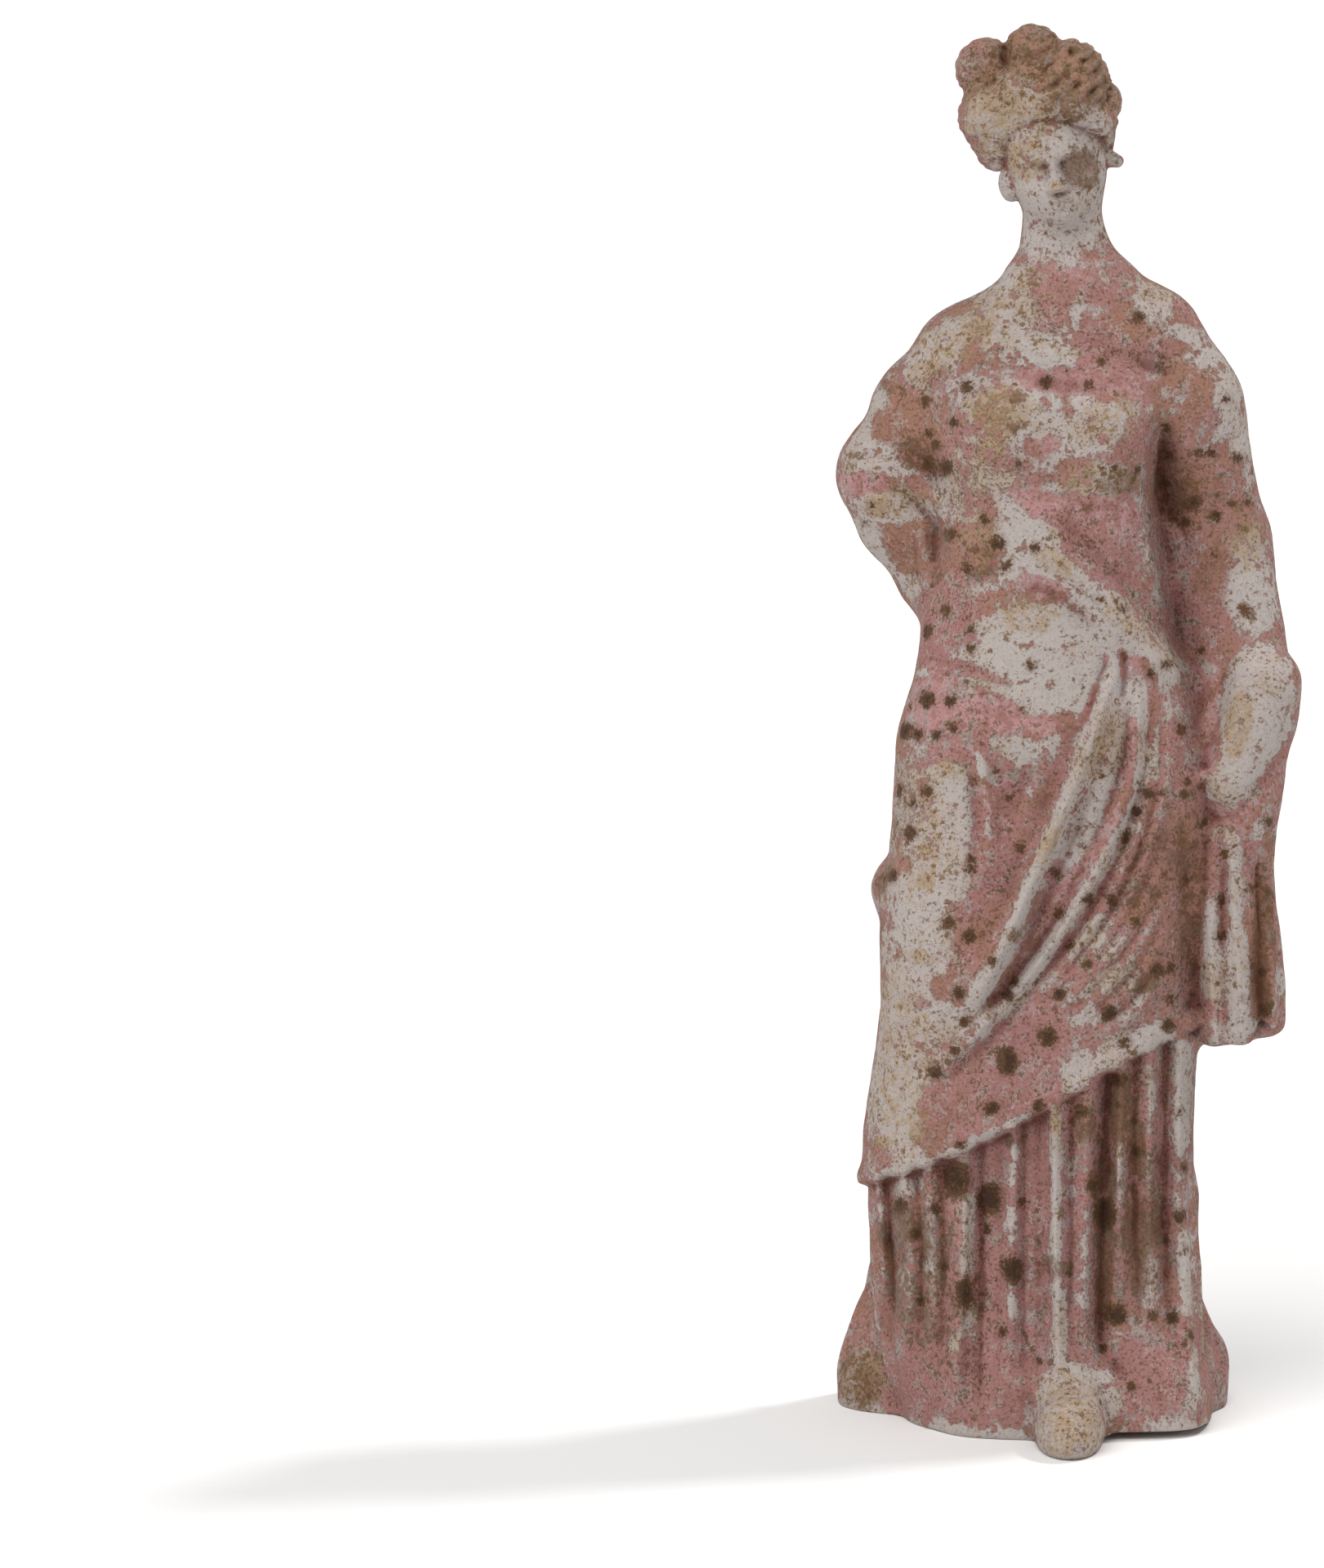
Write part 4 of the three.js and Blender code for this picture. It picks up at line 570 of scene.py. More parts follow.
class Loft:
    """Upright loft: rounded sections interpolated between the rows by a monotone cubic"""

    STEP = 0.5

    def __init__(self, rows, power):
        self.power = power
        self.first = rows[0][0]
        rows = np.array(rows, float)
        gaps = np.diff(rows[:, 0])
        chords = np.diff(rows[:, 1:], axis=0) / gaps[:, None]
        slopes = np.zeros_like(rows[:, 1:])
        slopes[0] = chords[0]
        slopes[-1] = chords[-1]
        before, after = chords[:-1], chords[1:]
        total = before + after
        total[total == 0] = 1
        slopes[1:-1] = np.where(before * after > 0, 2 * before * after / total, 0)
        heights = np.arange(rows[0, 0], rows[-1, 0] + 1e-6, self.STEP)
        i = np.clip(np.searchsorted(rows[:, 0], heights, side="right") - 1, 0, len(rows) - 2)
        h = gaps[i]
        t = (heights - rows[i, 0]) / h
        a = ((2 * t - 3) * t * t + 1)[:, None]
        b = (((t - 2) * t + 1) * t * h)[:, None]
        c = ((3 - 2 * t) * t * t)[:, None]
        d = ((t - 1) * t * t * h)[:, None]
        self.table = a * rows[i, 1:] + b * slopes[i] + c * rows[i + 1, 1:] + d * slopes[i + 1]

    def __call__(self, x, y, z):
        f = np.clip((z - self.first) / self.STEP, 0, len(self.table) - 1.001)
        i = f.astype(int)
        section = mix(self.table[i], self.table[i + 1], (f - i)[:, None])
        left, right, front, back = section.T
        half_width = (right - left) / 2
        half_depth = (back - front) / 2
        u = np.abs(x - (left + right) / 2) / half_width + 1e-9
        w = np.abs(y - (front + back) / 2) / half_depth + 1e-9
        k = (u ** self.power + w ** self.power) ** (1 / self.power)
        gx = (u / k) ** (self.power - 1) / half_width
        gy = (w / k) ** (self.power - 1) / half_depth
        return (k - 1) / np.sqrt(gx * gx + gy * gy)


robe = Loft(BODY_ROWS, BODY_POWER)
hanging_cloth = Loft(FALL_ROWS, FALL_POWER)
spreading_hem = Loft(SPREAD_ROWS, SPREAD_POWER)
front_hem = Loft(FRONT_ROWS, FRONT_POWER)


def bent_arm(x, y, z):
    elbow = [-26.5, 5, ELBOW_HEIGHT]
    upper = bar(x, y, z, [-15, 2, SHOULDER_HEIGHT - 2.4], elbow, 9.2, 9.0)
    lower = bar(x, y, z, elbow, [-17.8, 8, 134.2], 9.0, 9.8)
    sleeve = ball(x, y, z, [-22, 3, 158.5], [8.3, 8.3, 8.3])
    forearm = ball(x, y, z, [-25.2, 6.5, 141.5], [7.9, 7.9, 7.9])
    return join(join(join(upper, sleeve, 2), lower, 2), forearm, 2)


def hanging_arm(x, y, z):
    shoulder = [12.5, 2, SHOULDER_HEIGHT + 0.8]
    upper_arm = [17.5, 2, 158.5]
    elbow = [22.6, 4, 137]
    wrist = [28.8, -4, 112]
    d = bar(x, y, z, shoulder, upper_arm, 8.6, 9.3)
    d = join(d, bar(x, y, z, upper_arm, elbow, 9.3, 8.6), 3)
    d = join(d, bar(x, y, z, elbow, wrist, 8.6, 7.0), 3)
    return join(d, bar(x, y, z, [18, 5, 140], [21.5, 4.5, 112], 4.5, 4.5), 3)


def wrapped_hand(x, y, z):
    return bar(x, y, z, [29.8, -7.5, 116], [24.6, -9.5, 101.5], 6.2, 4.6)


def fall_of_cloth(x, y, z):
    low_edge = FALL_LOW - z + 0.12 * (x - 26)
    return carve(carve(hanging_cloth(x, y, z), low_edge, 2), z - FALL_HIGH, 4)


def body_under_cloth(x, y, z, d):
    d = join(d, ball(x, y, z, [-10, -8.5, 156], [7.5, 8.3, 7.5]), 7)
    d = join(d, ball(x, y, z, [5.5, -8, 155.5], [6.5, 8.3, 7]), 7)
    d = join(d, ball(x, y, z, [-5, -6, 117], [14, 12.6, 16]), 8)
    knee = [-15.6, -11, 78]
    d = join(d, bar(x, y, z, [-15.0, -8, 106], knee, 11, 9.5), 7)
    d = join(d, bar(x, y, z, knee, [-19, -7, 36], 9.5, 8), 7)
    return join(d, ball(x, y, z, [-25.9, -2, 84], [3.2, 5, 3.6]), 3.5)


def foot(x, y, z):
    instep = bar(x, y, z, [-0.5, -12, 16], [-0.4, -19, 8.5], 4.0, 5.0)
    toes = ball(x, y, z, [0.3, -23, 2.8], [5.6, 12.2, 6.0])
    return join(instep, toes, 3)


def body(x, y, z):
    d = robe(x, y, z)
    d = join(d, bent_arm(x, y, z), 6)
    d = join(d, hanging_arm(x, y, z), 4)
    d = join(d, wrapped_hand(x, y, z), 3)
    d = join(d, fall_of_cloth(x, y, z), 3)
    d = join(d, carve(spreading_hem(x, y, z), z - SPREAD_HIGH, 3), 2.5)
    d = join(d, carve(front_hem(x, y, z), z - FRONT_HIGH, 3), 2)
    return body_under_cloth(x, y, z, d)


# Small raised or sunk patches of the face, in the head's own directions


def patch(a, b, height, centre_a, centre_b, spread_a, spread_b):
    return height * np.exp(-(((a - centre_a) / spread_a) ** 2) - ((b - centre_b) / spread_b) ** 2)


def arch(a, b, height, centre_a, centre_b, half_width, rise, thickness):
    t = np.clip((a - centre_a) / half_width, -1, 1)
    beyond = np.maximum(np.abs(a - centre_a) - half_width, 0) / thickness
    off = (b - centre_b - rise * (1 - t * t)) / thickness
    return height * np.exp(-off * off - beyond * beyond)


# Calm, even face: brow, eyes, cheeks, nose, lips and chin, the same on both sides
def features(side, up):
    r = arch(side, up, 0.28, 2.8, 1.1, 2.9, 0.55, 0.9)
    r -= patch(side, up, 0.95, 2.9, -0.65, 2.0, 1.25)
    r -= patch(side, up, 0.5, 1.2, -0.5, 0.8, 1.2)
    r += patch(side, up, 0.55, 3.0, -0.8, 1.4, 0.75)
    r += arch(side, up, 0.15, 3.0, -0.7, 1.6, 0.62, 0.32)
    r += arch(side, up, 0.1, 3.0, -1.05, 1.5, -0.42, 0.32)
    r += patch(side, up, 0.4, 4.2, -3.4, 2.4, 2.0)
    t = np.clip((1.8 - up) / 5.2, 0, 1)
    nose_ends = step_between(up, -4.5, -3.3) * (1 - step_between(up, 0.8, 3.8))
    nose_height = 0.6 + 1.65 * t * t * (1.5 - 0.5 * t)
    r += nose_height * np.exp(-((side / (0.85 + 0.42 * t)) ** 2)) * nose_ends
    r += patch(side, up, 0.5, 1.2, -3.45, 0.65, 0.6)
    r += patch(side, up, 0.5, 0, -5.7, 2.7, 1.6)
    r += patch(side, up, 0.36, 0.6, -5.3, 1.2, 0.48)
    r -= arch(side, up, 0.36, 0, -5.76, 1.75, -0.1, 0.28)
    r += patch(side, up, 0.4, 0, -6.3, 1.35, 0.48)
    r -= patch(side, up, 0.28, 0, -7.1, 1.4, 0.5)
    r += patch(side, up, 0.55, 0, -8.2, 1.8, 1.1)
    return r


def head_directions(x, y, z):
    away = (x - HEAD_CENTRE[0], y - HEAD_CENTRE[1], z - HEAD_CENTRE[2])
    across = sum(p * q for p, q in zip(away, SIDEWAYS))
    inward = -sum(p * q for p, q in zip(away, FORWARD))
    up = sum(p * q for p, q in zip(away, CROWN))
    return across, inward, up


def face(x, y, z):
    across, inward, up = head_directions(x, y, z)
    d = ball(across, inward, up, [0, 1.2, 1.8], [7.9, 9.2, 9.6])
    d = join(d, ball(across, inward, up, [0, -0.6, -2.2], [7.3, 7.6, 7.6]), 2)
    d = join(d, ball(across, inward, up, [0, -4.0, -6.8], [3.8, 3.8, 2.8]), 3.5)
    return d - features(np.abs(across), up) * (1 - step_between(inward, -5, -1))


def strands(x, y, z):
    """Shallow waves of the hair, combed from a parting over the brow round to the back"""
    across = x + 2.5
    rise = np.where(across > 0, 0.5, -0.12) * across * (1 - step_between(y, -3, 6))
    swing = 0.5 * np.sin(0.7 * across + 0.4 * y) + 0.3 * np.sin(1.9 * across - z)
    ripple = np.abs(np.cos(np.pi * (z - rise + swing) / STRAND_PITCH))
    return STRAND_HEIGHT * (2 * ripple - 1.2)


# Hair combed back, rolled beside the brow and tied on top in two loops
def hair(x, y, z):
    d = ball(x, y, z, [-3.9, 2.4, 206], [10.6, 11.2, 9.6])
    d = carve(d, -((y + 1) * 0.62 + (z - 201.2) * 0.78), 1.5)
    d = join(d, ball(x, y, z, [-4, 10, 204], [6.5, 5.6, 6]), 2)
    lock = (z - 208.5 - 0.55 * (x + 2) - 0.25 * (y + 6)) / 2.35
    wave = 0.36 * (np.abs(np.cos(np.pi * lock)) - 0.6) * step_between(x, -9.5, -5.5)
    d = join(d, ball(x, y, z, [0.2, -2.4, 208.0], [6.4, 6.9, 7.6]) - wave, 1)
    temple_left = [-11, -2.6, 200.4]
    brow_left = [-5.6, -8.2, 205]
    brow_right = [0.8, -9, 205.6]
    temple_right = [5.2, -6, 202.8]
    roll = bar(x, y, z, temple_left, brow_left, 2.1, 1.6)
    roll = join(roll, bar(x, y, z, brow_left, brow_right, 1.6, 1.5), 1)
    roll = join(roll, bar(x, y, z, brow_right, temple_right, 1.5, 1.7), 1)
    d = join(d, roll, 3.2)
    d = join(d, bar(x, y, z, [5.8, -3.2, 203], [5.5, 0, 198.8], 2.0, 1.5), 1.2)
    d = join(d, ball(x, y, z, [5.7, -0.2, 205.7], [2.7, 4.4, 3.4]), 0.7)
    d = join(d, ball(x, y, z, [-11.9, -0.8, 203.7], [5, 6, 5]), 1.5)
    d = join(d, ball(x, y, z, [-10.6, 0.2, 199.4], [3.6, 4.6, 4.2]), 2)
    d = join(d, bar(x, y, z, [-12.4, 0.6, 211.0], [-12, 0.6, 210.2], 4.8, 4.7), 0.8)
    d = join(d, bar(x, y, z, [-5.2, -0.6, 213.2], [-5.4, -1, 209.5], 4.7, 5.2), 0.6)
    return d - strands(x, y, z)


def earrings(x, y, z):
    left_drop = ball(x, y, z, [-8.6, -2, 193.6], [2, 2, 2.9])
    right_drop = bar(x, y, z, [5, -1, 197.6], [7.7, -1.5, 196.8], 1.9, 1)
    return np.minimum(left_drop, right_drop)


def head(x, y, z):
    return join(join(face(x, y, z), hair(x, y, z), 0.5), earrings(x, y, z), 0.6)


def smooth_form(x, y, z):
    """Masses without their folds, for flat arrays of points"""
    d = np.empty_like(x)
    top = z >= NECK_HIGH
    low = ~top
    d[top] = head(x[top], y[top], z[top])
    d[low] = np.maximum(body(x[low], y[low], z[low]), z[low] - NECK_HIGH + 1)
    neck = low & (z > NECK_LOW)
    d[neck] = join(d[neck], head(x[neck], y[neck], z[neck]), 1.8)
    return d


# Strokes


def stroke_path(points):
    """Smooth line through the points, eight short spans between each two"""
    points = np.array(points, float)
    last = len(points) - 1
    at = np.linspace(0, last, 8 * last + 1)
    i = np.minimum(at.astype(int), last)
    t = (at - i)[:, None]
    p0 = points[np.where(i == 0, 0, i - 1)]
    p1 = points[i]
    p2 = points[np.minimum(i + 1, last)]
    p3 = points[np.minimum(i + 2, last)]
    v0 = (p2 - p0) / 2
    v1 = (p3 - p1) / 2
    return ((2 * p1 - 2 * p2 + v0 + v1) * t ** 3
            + (-3 * p1 + 3 * p2 - 2 * v0 - v1) * t ** 2 + v0 * t + p1)


class Sheet:
    """Drawing plane: a grid of numbers over u and v that strokes and patches add to"""

    STEP = 0.25

    def __init__(self):
        self.us = np.arange(GRID_LEFT, GRID_RIGHT + 1e-6, self.STEP)
        self.vs = np.arange(GRID_LOW, GRID_HIGH + 1e-6, self.STEP)
        self.values = np.zeros((len(self.vs), len(self.us)))

    def window(self, low_u, high_u, low_v, high_v):
        a, b = np.searchsorted(self.us, [low_u, high_u])
        c, d = np.searchsorted(self.vs, [low_v, high_v])
        us, vs = np.meshgrid(self.us[a:b], self.vs[c:d])
        return slice(c, d), slice(a, b), us, vs

    def fold(self, points, height, width, fade_in, fade_out, lean=0, power=2):
        """Adds a raised or sunk stroke"""
        path = stroke_path(points)
        reach = width * 3
        low, high = path.min(0) - reach, path.max(0) + reach
        rows, columns, us, vs = self.window(low[0], high[0], low[1], high[1])
        lengths = np.linalg.norm(np.diff(path, axis=0), axis=1)
        starts = np.concatenate([[0], np.cumsum(lengths)])
        best = np.full(us.shape, np.inf)
        share = np.zeros(us.shape)
        side = np.zeros(us.shape)
        for k, length in enumerate(lengths):
            du, dv = path[k + 1] - path[k]
            pu, pv = us - path[k, 0], vs - path[k, 1]
            t = np.clip((pu * du + pv * dv) / (length * length + 1e-12), 0, 1)
            away = np.hypot(pu - t * du, pv - t * dv)
            closer = away < best
            best[closer] = away[closer]
            share[closer] = (starts[k] + t * length)[closer] / starts[-1]
            side[closer] = np.sign(du * pv - dv * pu)[closer]
        ends = np.ones(us.shape)
        if fade_in > 0:
            ends *= step_between(share, 0, fade_in)
        if fade_out > 0:
            ends *= step_between(1 - share, 0, fade_out)
        spread = best / (width * (1 + lean * side))
        self.values[rows, columns] += height * np.exp(-spread ** power) * ends

    def blot(self, u, v, half_u, half_v, height, turn=0):
        """Adds a soft-edged oval patch"""
        reach = 1.4 * max(half_u, half_v)
        rows, columns, us, vs = self.window(u - reach, u + reach, v - reach, v + reach)
        c, s = math.cos(math.radians(turn)), math.sin(math.radians(turn))
        a = ((us - u) * c + (vs - v) * s) / half_u
        b = ((vs - v) * c - (us - u) * s) / half_v
        self.values[rows, columns] += height * (1 - step_between(np.hypot(a, b), 0.6, 1.35))

    def sample(self, u, v):
        fu = np.clip((u - GRID_LEFT) / self.STEP, 0, len(self.us) - 1.001)
        fv = np.clip((v - GRID_LOW) / self.STEP, 0, len(self.vs) - 1.001)
        i, j = fu.astype(int), fv.astype(int)
        low = mix(self.values[j, i], self.values[j, i + 1], fu - i)
        high = mix(self.values[j + 1, i], self.values[j + 1, i + 1], fu - i)
        return mix(low, high, fv - j)


def between(start, end, share):
    return [[mix(a, c, share), mix(b, d, share)] for (a, b), (c, d) in zip(start, end)]


hem_path = stroke_path(HEM_LINE)


def hem_at(u):
    k = np.clip(np.searchsorted(hem_path[:, 0], u) - 1, 0, len(hem_path) - 2)
    t = np.clip((u - hem_path[k, 0]) / (hem_path[k + 1, 0] - hem_path[k, 0]), 0, 1)
    return mix(hem_path[k, 1], hem_path[k + 1, 1], t)


def draw_folds(sheet, rows):
    for row in rows:
        sheet.fold(*row)


def sweep_folds(sheet):
    tail_low = [-23.5, 51.4]
    sheet.fold(CREST, 2.4, 2.1, 0.2, 0.12, -0.25, 1.8)
    sheet.fold(between(CREST, SECOND, 0.42)[1:], -1.7, 1.9, 0.35, 0.12, 0.3)
    sheet.fold(between(CREST, SECOND, -0.3)[:4], -0.7, 1.6, 0.3, 0.4)
    sheet.fold([[6.6, 120.5], [4.4, 114], [1.2, 105]], -0.7, 0.9, 0.15, 0.5)
    sheet.fold([[8.9, 121.2], [8.9, 117], [8.3, 112]], -0.7, 0.7, 0.15, 0.4)
    sheet.fold(between(CREST, SECOND, 0.72), -0.9, 0.9, 0.25, 0.2)
    sheet.fold([*SECOND, tail_low], 1.7, 1.5, 0.1, 0.12, 0, 1.8)
    sheet.fold([*between(SECOND, THIRD, 0.4), [-22, 50]], -1.2, 1.5, 0.15, 0.15)
    sheet.fold(between(SECOND, THIRD, 0.72), 0.9, 1.0, 0.3, 0.25)
    sheet.fold(THIRD, -0.6, 1.1, 0.2, 0.3)
    sheet.fold(between(SECOND, THIRD, 1.28), 1.0, 1.1, 0.25, 0.3)
    for k in range(FAN_COUNT):
        t = k / (FAN_COUNT - 1)
        top = [17.4, 92 - 17 * t]
        end = [-4.5 + 7 * t, 60.5 - 1.5 * t]
        upper = [mix(top[0], end[0], 0.38) + 0.8, mix(top[1], end[1], 0.38) - 2.6]
        lower = [mix(top[0], end[0], 0.7) + 0.5, mix(top[1], end[1], 0.7) - 2.0]
        sheet.fold([top, upper, lower, end], 1.0 - 0.1 * t, 1.0, 0.35, 0.3)


def tunic_folds(sheet):
    for top, middle, low, height, width, lean, low_v, fade_out in TUNIC_PLEATS:
        top_v = float(hem_at(np.array([float(top)]))[0]) + 1
        middle_v = (top_v + low_v) / 2
        points = [[top, top_v], [middle, middle_v], [low, low_v]]
        sheet.fold(points, height, width, 0.03, fade_out, lean, 1.8)
    draw_folds(sheet, GROUND_FOLDS)


def hair_folds(sheet):
    """Grooves between the loops and the locks of the hair"""
    draw_folds(sheet, HAIR_GROOVES)
    locks = 5
    for k in range(locks):
        t = k / (locks - 1)
        top = [-1.1 + 7 * t, 216.2 - 6.6 * t]
        middle = [-2.3 + 8.5 * t, 211.9 - 5.2 * t]
        low = [-5.2 + 9.9 * t, 209 - 5.2 * t]
        sheet.fold([top, middle, low], -0.5, 0.55, 0.1, 0.3)


def back_folds(sheet):
    """Plainer folds of the back, seen square on: the cloak swept over, and pleats below its hem"""
    sweeps = 5
    for k in range(sweeps):
        line = [[12 - 0.5 * k, 160 - 17 * k], [-1, 151 - 18.5 * k], [-25, 144 - 18 * k]]
        sheet.fold(line, 0.9, 2.2, 0.25, 0.25, 0.2)
        sheet.fold([[u, v - 5] for u, v in line], -0.7, 2.4, 0.25, 0.25)
    pleats = 8
    for k in range(pleats):
        u = mix(-27, 18, k / (pleats - 1))
        sheet.fold([[u, 46 + 0.4 * u], [u * 1.02, 22], [u * 1.1, 2]], 0.8, 1.7, 0.1, 0.2)


def cloak_layer(u, v):
    """Thickness of the cloak over the tunic, with a fuller band along its hem"""
    above = v - hem_at(u)
    worn = step_between(above, -0.8, 0.6) * (1 - step_between(v, 75, 110))
    band = 0.6 * np.exp(-((above - 1.8) / 1.6) ** 2)
    return (CLOAK_THICKNESS * worn + band) * (1 - step_between(u, 19, 22))


def side_pleats(x, y, z):
    """Plain upright pleats on the sides, spaced along the depth"""
    fall = step_between(x, 22, 26) * step_between(z, 60, 64) * (1 - step_between(z, 88, 108))
    tunic = (1 - step_between(z, 34, 42)) * step_between(z, 3, 9)
    fall_wave = FALL_PLEAT_HEIGHT * np.cos(2 * np.pi * y / FALL_PLEAT_PITCH)
    tunic_wave = TUNIC_PLEAT_HEIGHT * np.cos(2 * np.pi * y / TUNIC_PLEAT_PITCH)
    return fall * fall_wave + tunic * tunic_wave


front_sheet = Sheet()
back_sheet = Sheet()
sweep_folds(front_sheet)
draw_folds(front_sheet, FRONT_FOLDS)
tunic_folds(front_sheet)
hair_folds(front_sheet)
back_folds(back_sheet)


def drawing_plane(x, y, z):
    """Where the eye in front sees a point on the drawing plane"""
    scale = EYE_DISTANCE / (EYE_DISTANCE + y)
    return x * scale, EYE_HEIGHT + (z - EYE_HEIGHT) * scale


def facing_back(x, y, z):
    e = 0.6
    return (smooth_form(x, y + e, z) - smooth_form(x, y - e, z)) / (2 * e)


def relief(x, y, z, facing):
    u, v = drawing_plane(x, y, z)
    r = front_sheet.sample(u, v) * step_between(-facing, -0.05, 0.55)
    r += back_sheet.sample(x, z) * step_between(facing, 0.1, 0.7)
    r += side_pleats(x, y, z) * (1 - step_between(np.abs(facing), 0.3, 0.8))
    return r + np.where(z < NECK_LOW, cloak_layer(u, v), 0)


def figure_field(x, y, z):
    """The whole form, folds and foot included, cut level where it stands; flat arrays"""
    d = smooth_form(x, y, z)
    near = np.abs(d) < FOLD_REACH
    nx, ny, nz = x[near], y[near], z[near]
    d[near] -= relief(nx, ny, nz, facing_back(nx, ny, nz))
    low = z < NECK_LOW
    d[low] = join(d[low], foot(x[low], y[low], z[low]), 2.5)
    lifted = HEM_RISE * step_between(x, 4, 8) * (1 - step_between(y, -15, -7))
    return carve(d, lifted - z, 0.6)


def figure(points):
    """Field at an array of points, a chunk at a time"""
    out = np.empty(len(points))
    for start in range(0, len(points), CHUNK):
        part = points[start:start + CHUNK]
        out[start:start + CHUNK] = figure_field(part[:, 0], part[:, 1], part[:, 2])
    return out


# Surface of the field as a mesh


def stretch(volume, axis, times):
    """Values between the nodes along one axis, so that there are times as many spans"""
    count = (volume.shape[axis] - 1) * times + 1
    at = np.arange(count) / times
    i = np.minimum(at.astype(int), volume.shape[axis] - 2)
    shape = [1, 1, 1]
    shape[axis] = count
    t = (at - i).reshape(shape).astype(np.float32)
    return mix(np.take(volume, i, axis), np.take(volume, i + 1, axis), t)


def sample_volume(step):
    """Field on a regular grid: coarse everywhere, and exact in a band round the surface"""
    spans = np.ceil(BOX_SIZE / (COARSE * step)).astype(int)
    axes = [np.arange(n + 1) * COARSE * step + BOX_LOW[k] for k, n in enumerate(spans)]
    nodes = np.stack(np.meshgrid(*axes, indexing="ij"), -1).reshape(-1, 3)
    volume = figure(nodes).astype(np.float32).reshape(spans + 1)
    for axis in range(3):
        volume = stretch(volume, axis, COARSE)
    band = np.argwhere(np.abs(volume) < BAND)
    volume[tuple(band.T)] = figure(band * step + BOX_LOW)
    return volume


def crossings(volume, axis):
    """Nodes whose edge along the axis crosses the surface, and how far along it"""
    low = [slice(None)] * 3
    high = [slice(None)] * 3
    low[axis] = slice(None, -1)
    high[axis] = slice(1, None)
    inside = volume < 0
    changed = inside[tuple(low)] != inside[tuple(high)]
    nodes = np.argwhere(changed)
    ends = nodes.copy()
    ends[:, axis] += 1
    a = volume[tuple(nodes.T)]
    b = volume[tuple(ends.T)]
    return nodes, a / (a - b), a < 0


def net_surface(volume, step):
    """One point in each cell that the surface crosses, and a quad round each crossed edge"""
    shape = np.array(volume.shape)
    strides = np.array([shape[1] * shape[2], shape[2], 1])
    keys, places, quads = [], [], []
    for axis in range(3):
        nodes, share, solid_first = crossings(volume, axis)
        place = nodes.astype(float)
        place[:, axis] += share
        one, two = [(1, 2), (2, 0), (0, 1)][axis]
        ring = []
        for back_one, back_two in ((1, 1), (0, 1), (0, 0), (1, 0)):
            cell = nodes.copy()
            cell[:, one] -= back_one
            cell[:, two] -= back_two
            key = cell @ strides
            ring.append(key)
            keys.append(key)
            places.append(place)
        quad = np.stack(ring, 1)
        quad[~solid_first] = quad[~solid_first, ::-1]
        quads.append(quad)
    keys = np.concatenate(keys)
    places = np.concatenate(places)
    cells, index = np.unique(keys, return_inverse=True)
    counts = np.bincount(index)
    points = np.stack([np.bincount(index, places[:, k]) for k in range(3)], 1) / counts[:, None]
    quads = np.searchsorted(cells, np.concatenate(quads))
    return points * step + BOX_LOW, quads


def gradient(points, reach=0.15):
    slopes = []
    for axis in range(3):
        shift = np.zeros(3)
        shift[axis] = reach
        slopes.append((figure(points + shift) - figure(points - shift)) / (2 * reach))
    return np.stack(slopes, 1)


def pull_to_surface(points, furthest):
    """Moves points along the field's slope until they lie on the surface"""
    slope = gradient(points)
    steep = np.maximum((slope ** 2).sum(1), 0.25)
    move = slope * (figure(points) / steep)[:, None]
    length = np.linalg.norm(move, axis=1, keepdims=True)
    return points - move * np.minimum(1, furthest / np.maximum(length, 1e-9))


# Seeded noise, smooth between the corners of a lattice


def lattice_noise(points, size, seed):
    at = points / size
    cell = np.floor(at).astype(np.int64)
    t = at - cell
    t = t * t * t * (t * (6 * t - 15) + 10)
    total = np.zeros(len(points))
    for corner in range(8):
        offset = np.array([corner & 1, corner >> 1 & 1, corner >> 2 & 1])
        n = (cell + offset) @ np.array([374761393, 668265263, 2147483647]) + seed * 974634777
        n = (n ^ (n >> 13)) * 1274126177 & 0x7FFFFFFF
        n = (n ^ (n >> 16)) & 0xFFFF
        weight = np.prod(np.where(offset, t, 1 - t), axis=1)
        total += weight * (n / 65535.0 * 2 - 1)
    return total


def layered_noise(points, size, layers, seed):
    total = np.zeros(len(points))
    for k in range(layers):
        total += lattice_noise(points, size / 2 ** k, seed + 31 * k) / 2 ** k
    return total


# Objects and meshes


def new_mesh(name, points, faces):
    mesh = bpy.data.meshes.new(name)
    corners = faces.shape[1]
    mesh.vertices.add(len(points))
    mesh.vertices.foreach_set("co", (points * MM).astype(np.float32).ravel())
    mesh.loops.add(faces.size)
    mesh.loops.foreach_set("vertex_index", faces.astype(np.int32).ravel())
    mesh.polygons.add(len(faces))
    mesh.polygons.foreach_set("loop_start", np.arange(0, faces.size, corners, dtype=np.int32))
    mesh.update(calc_edges=True)
    mesh.shade_smooth()
    return mesh


def new_object(name, data):
    made = bpy.data.objects.new(name, data)
    bpy.context.scene.collection.objects.link(made)
    return made


def mesh_points(mesh):
    flat = np.empty(len(mesh.vertices) * 3, np.float32)
    mesh.vertices.foreach_get("co", flat)
    return flat.reshape(-1, 3).astype(float) / MM


def mesh_normals(mesh):
    flat = np.empty(len(mesh.vertices) * 3, np.float32)
    mesh.vertex_normals.foreach_get("vector", flat)
    return flat.reshape(-1, 3).astype(float)


def mesh_edges(mesh):
    flat = np.empty(len(mesh.edges) * 2, np.int32)
    mesh.edges.foreach_get("vertices", flat)
    return flat.reshape(-1, 2)


def place_points(mesh, points):
    mesh.vertices.foreach_set("co", (points * MM).astype(np.float32).ravel())
    mesh.update()


def store(mesh, name, values):
    layer = mesh.attributes.new(name, "FLOAT", "POINT")
    layer.data.foreach_set("value", np.asarray(values, np.float32))


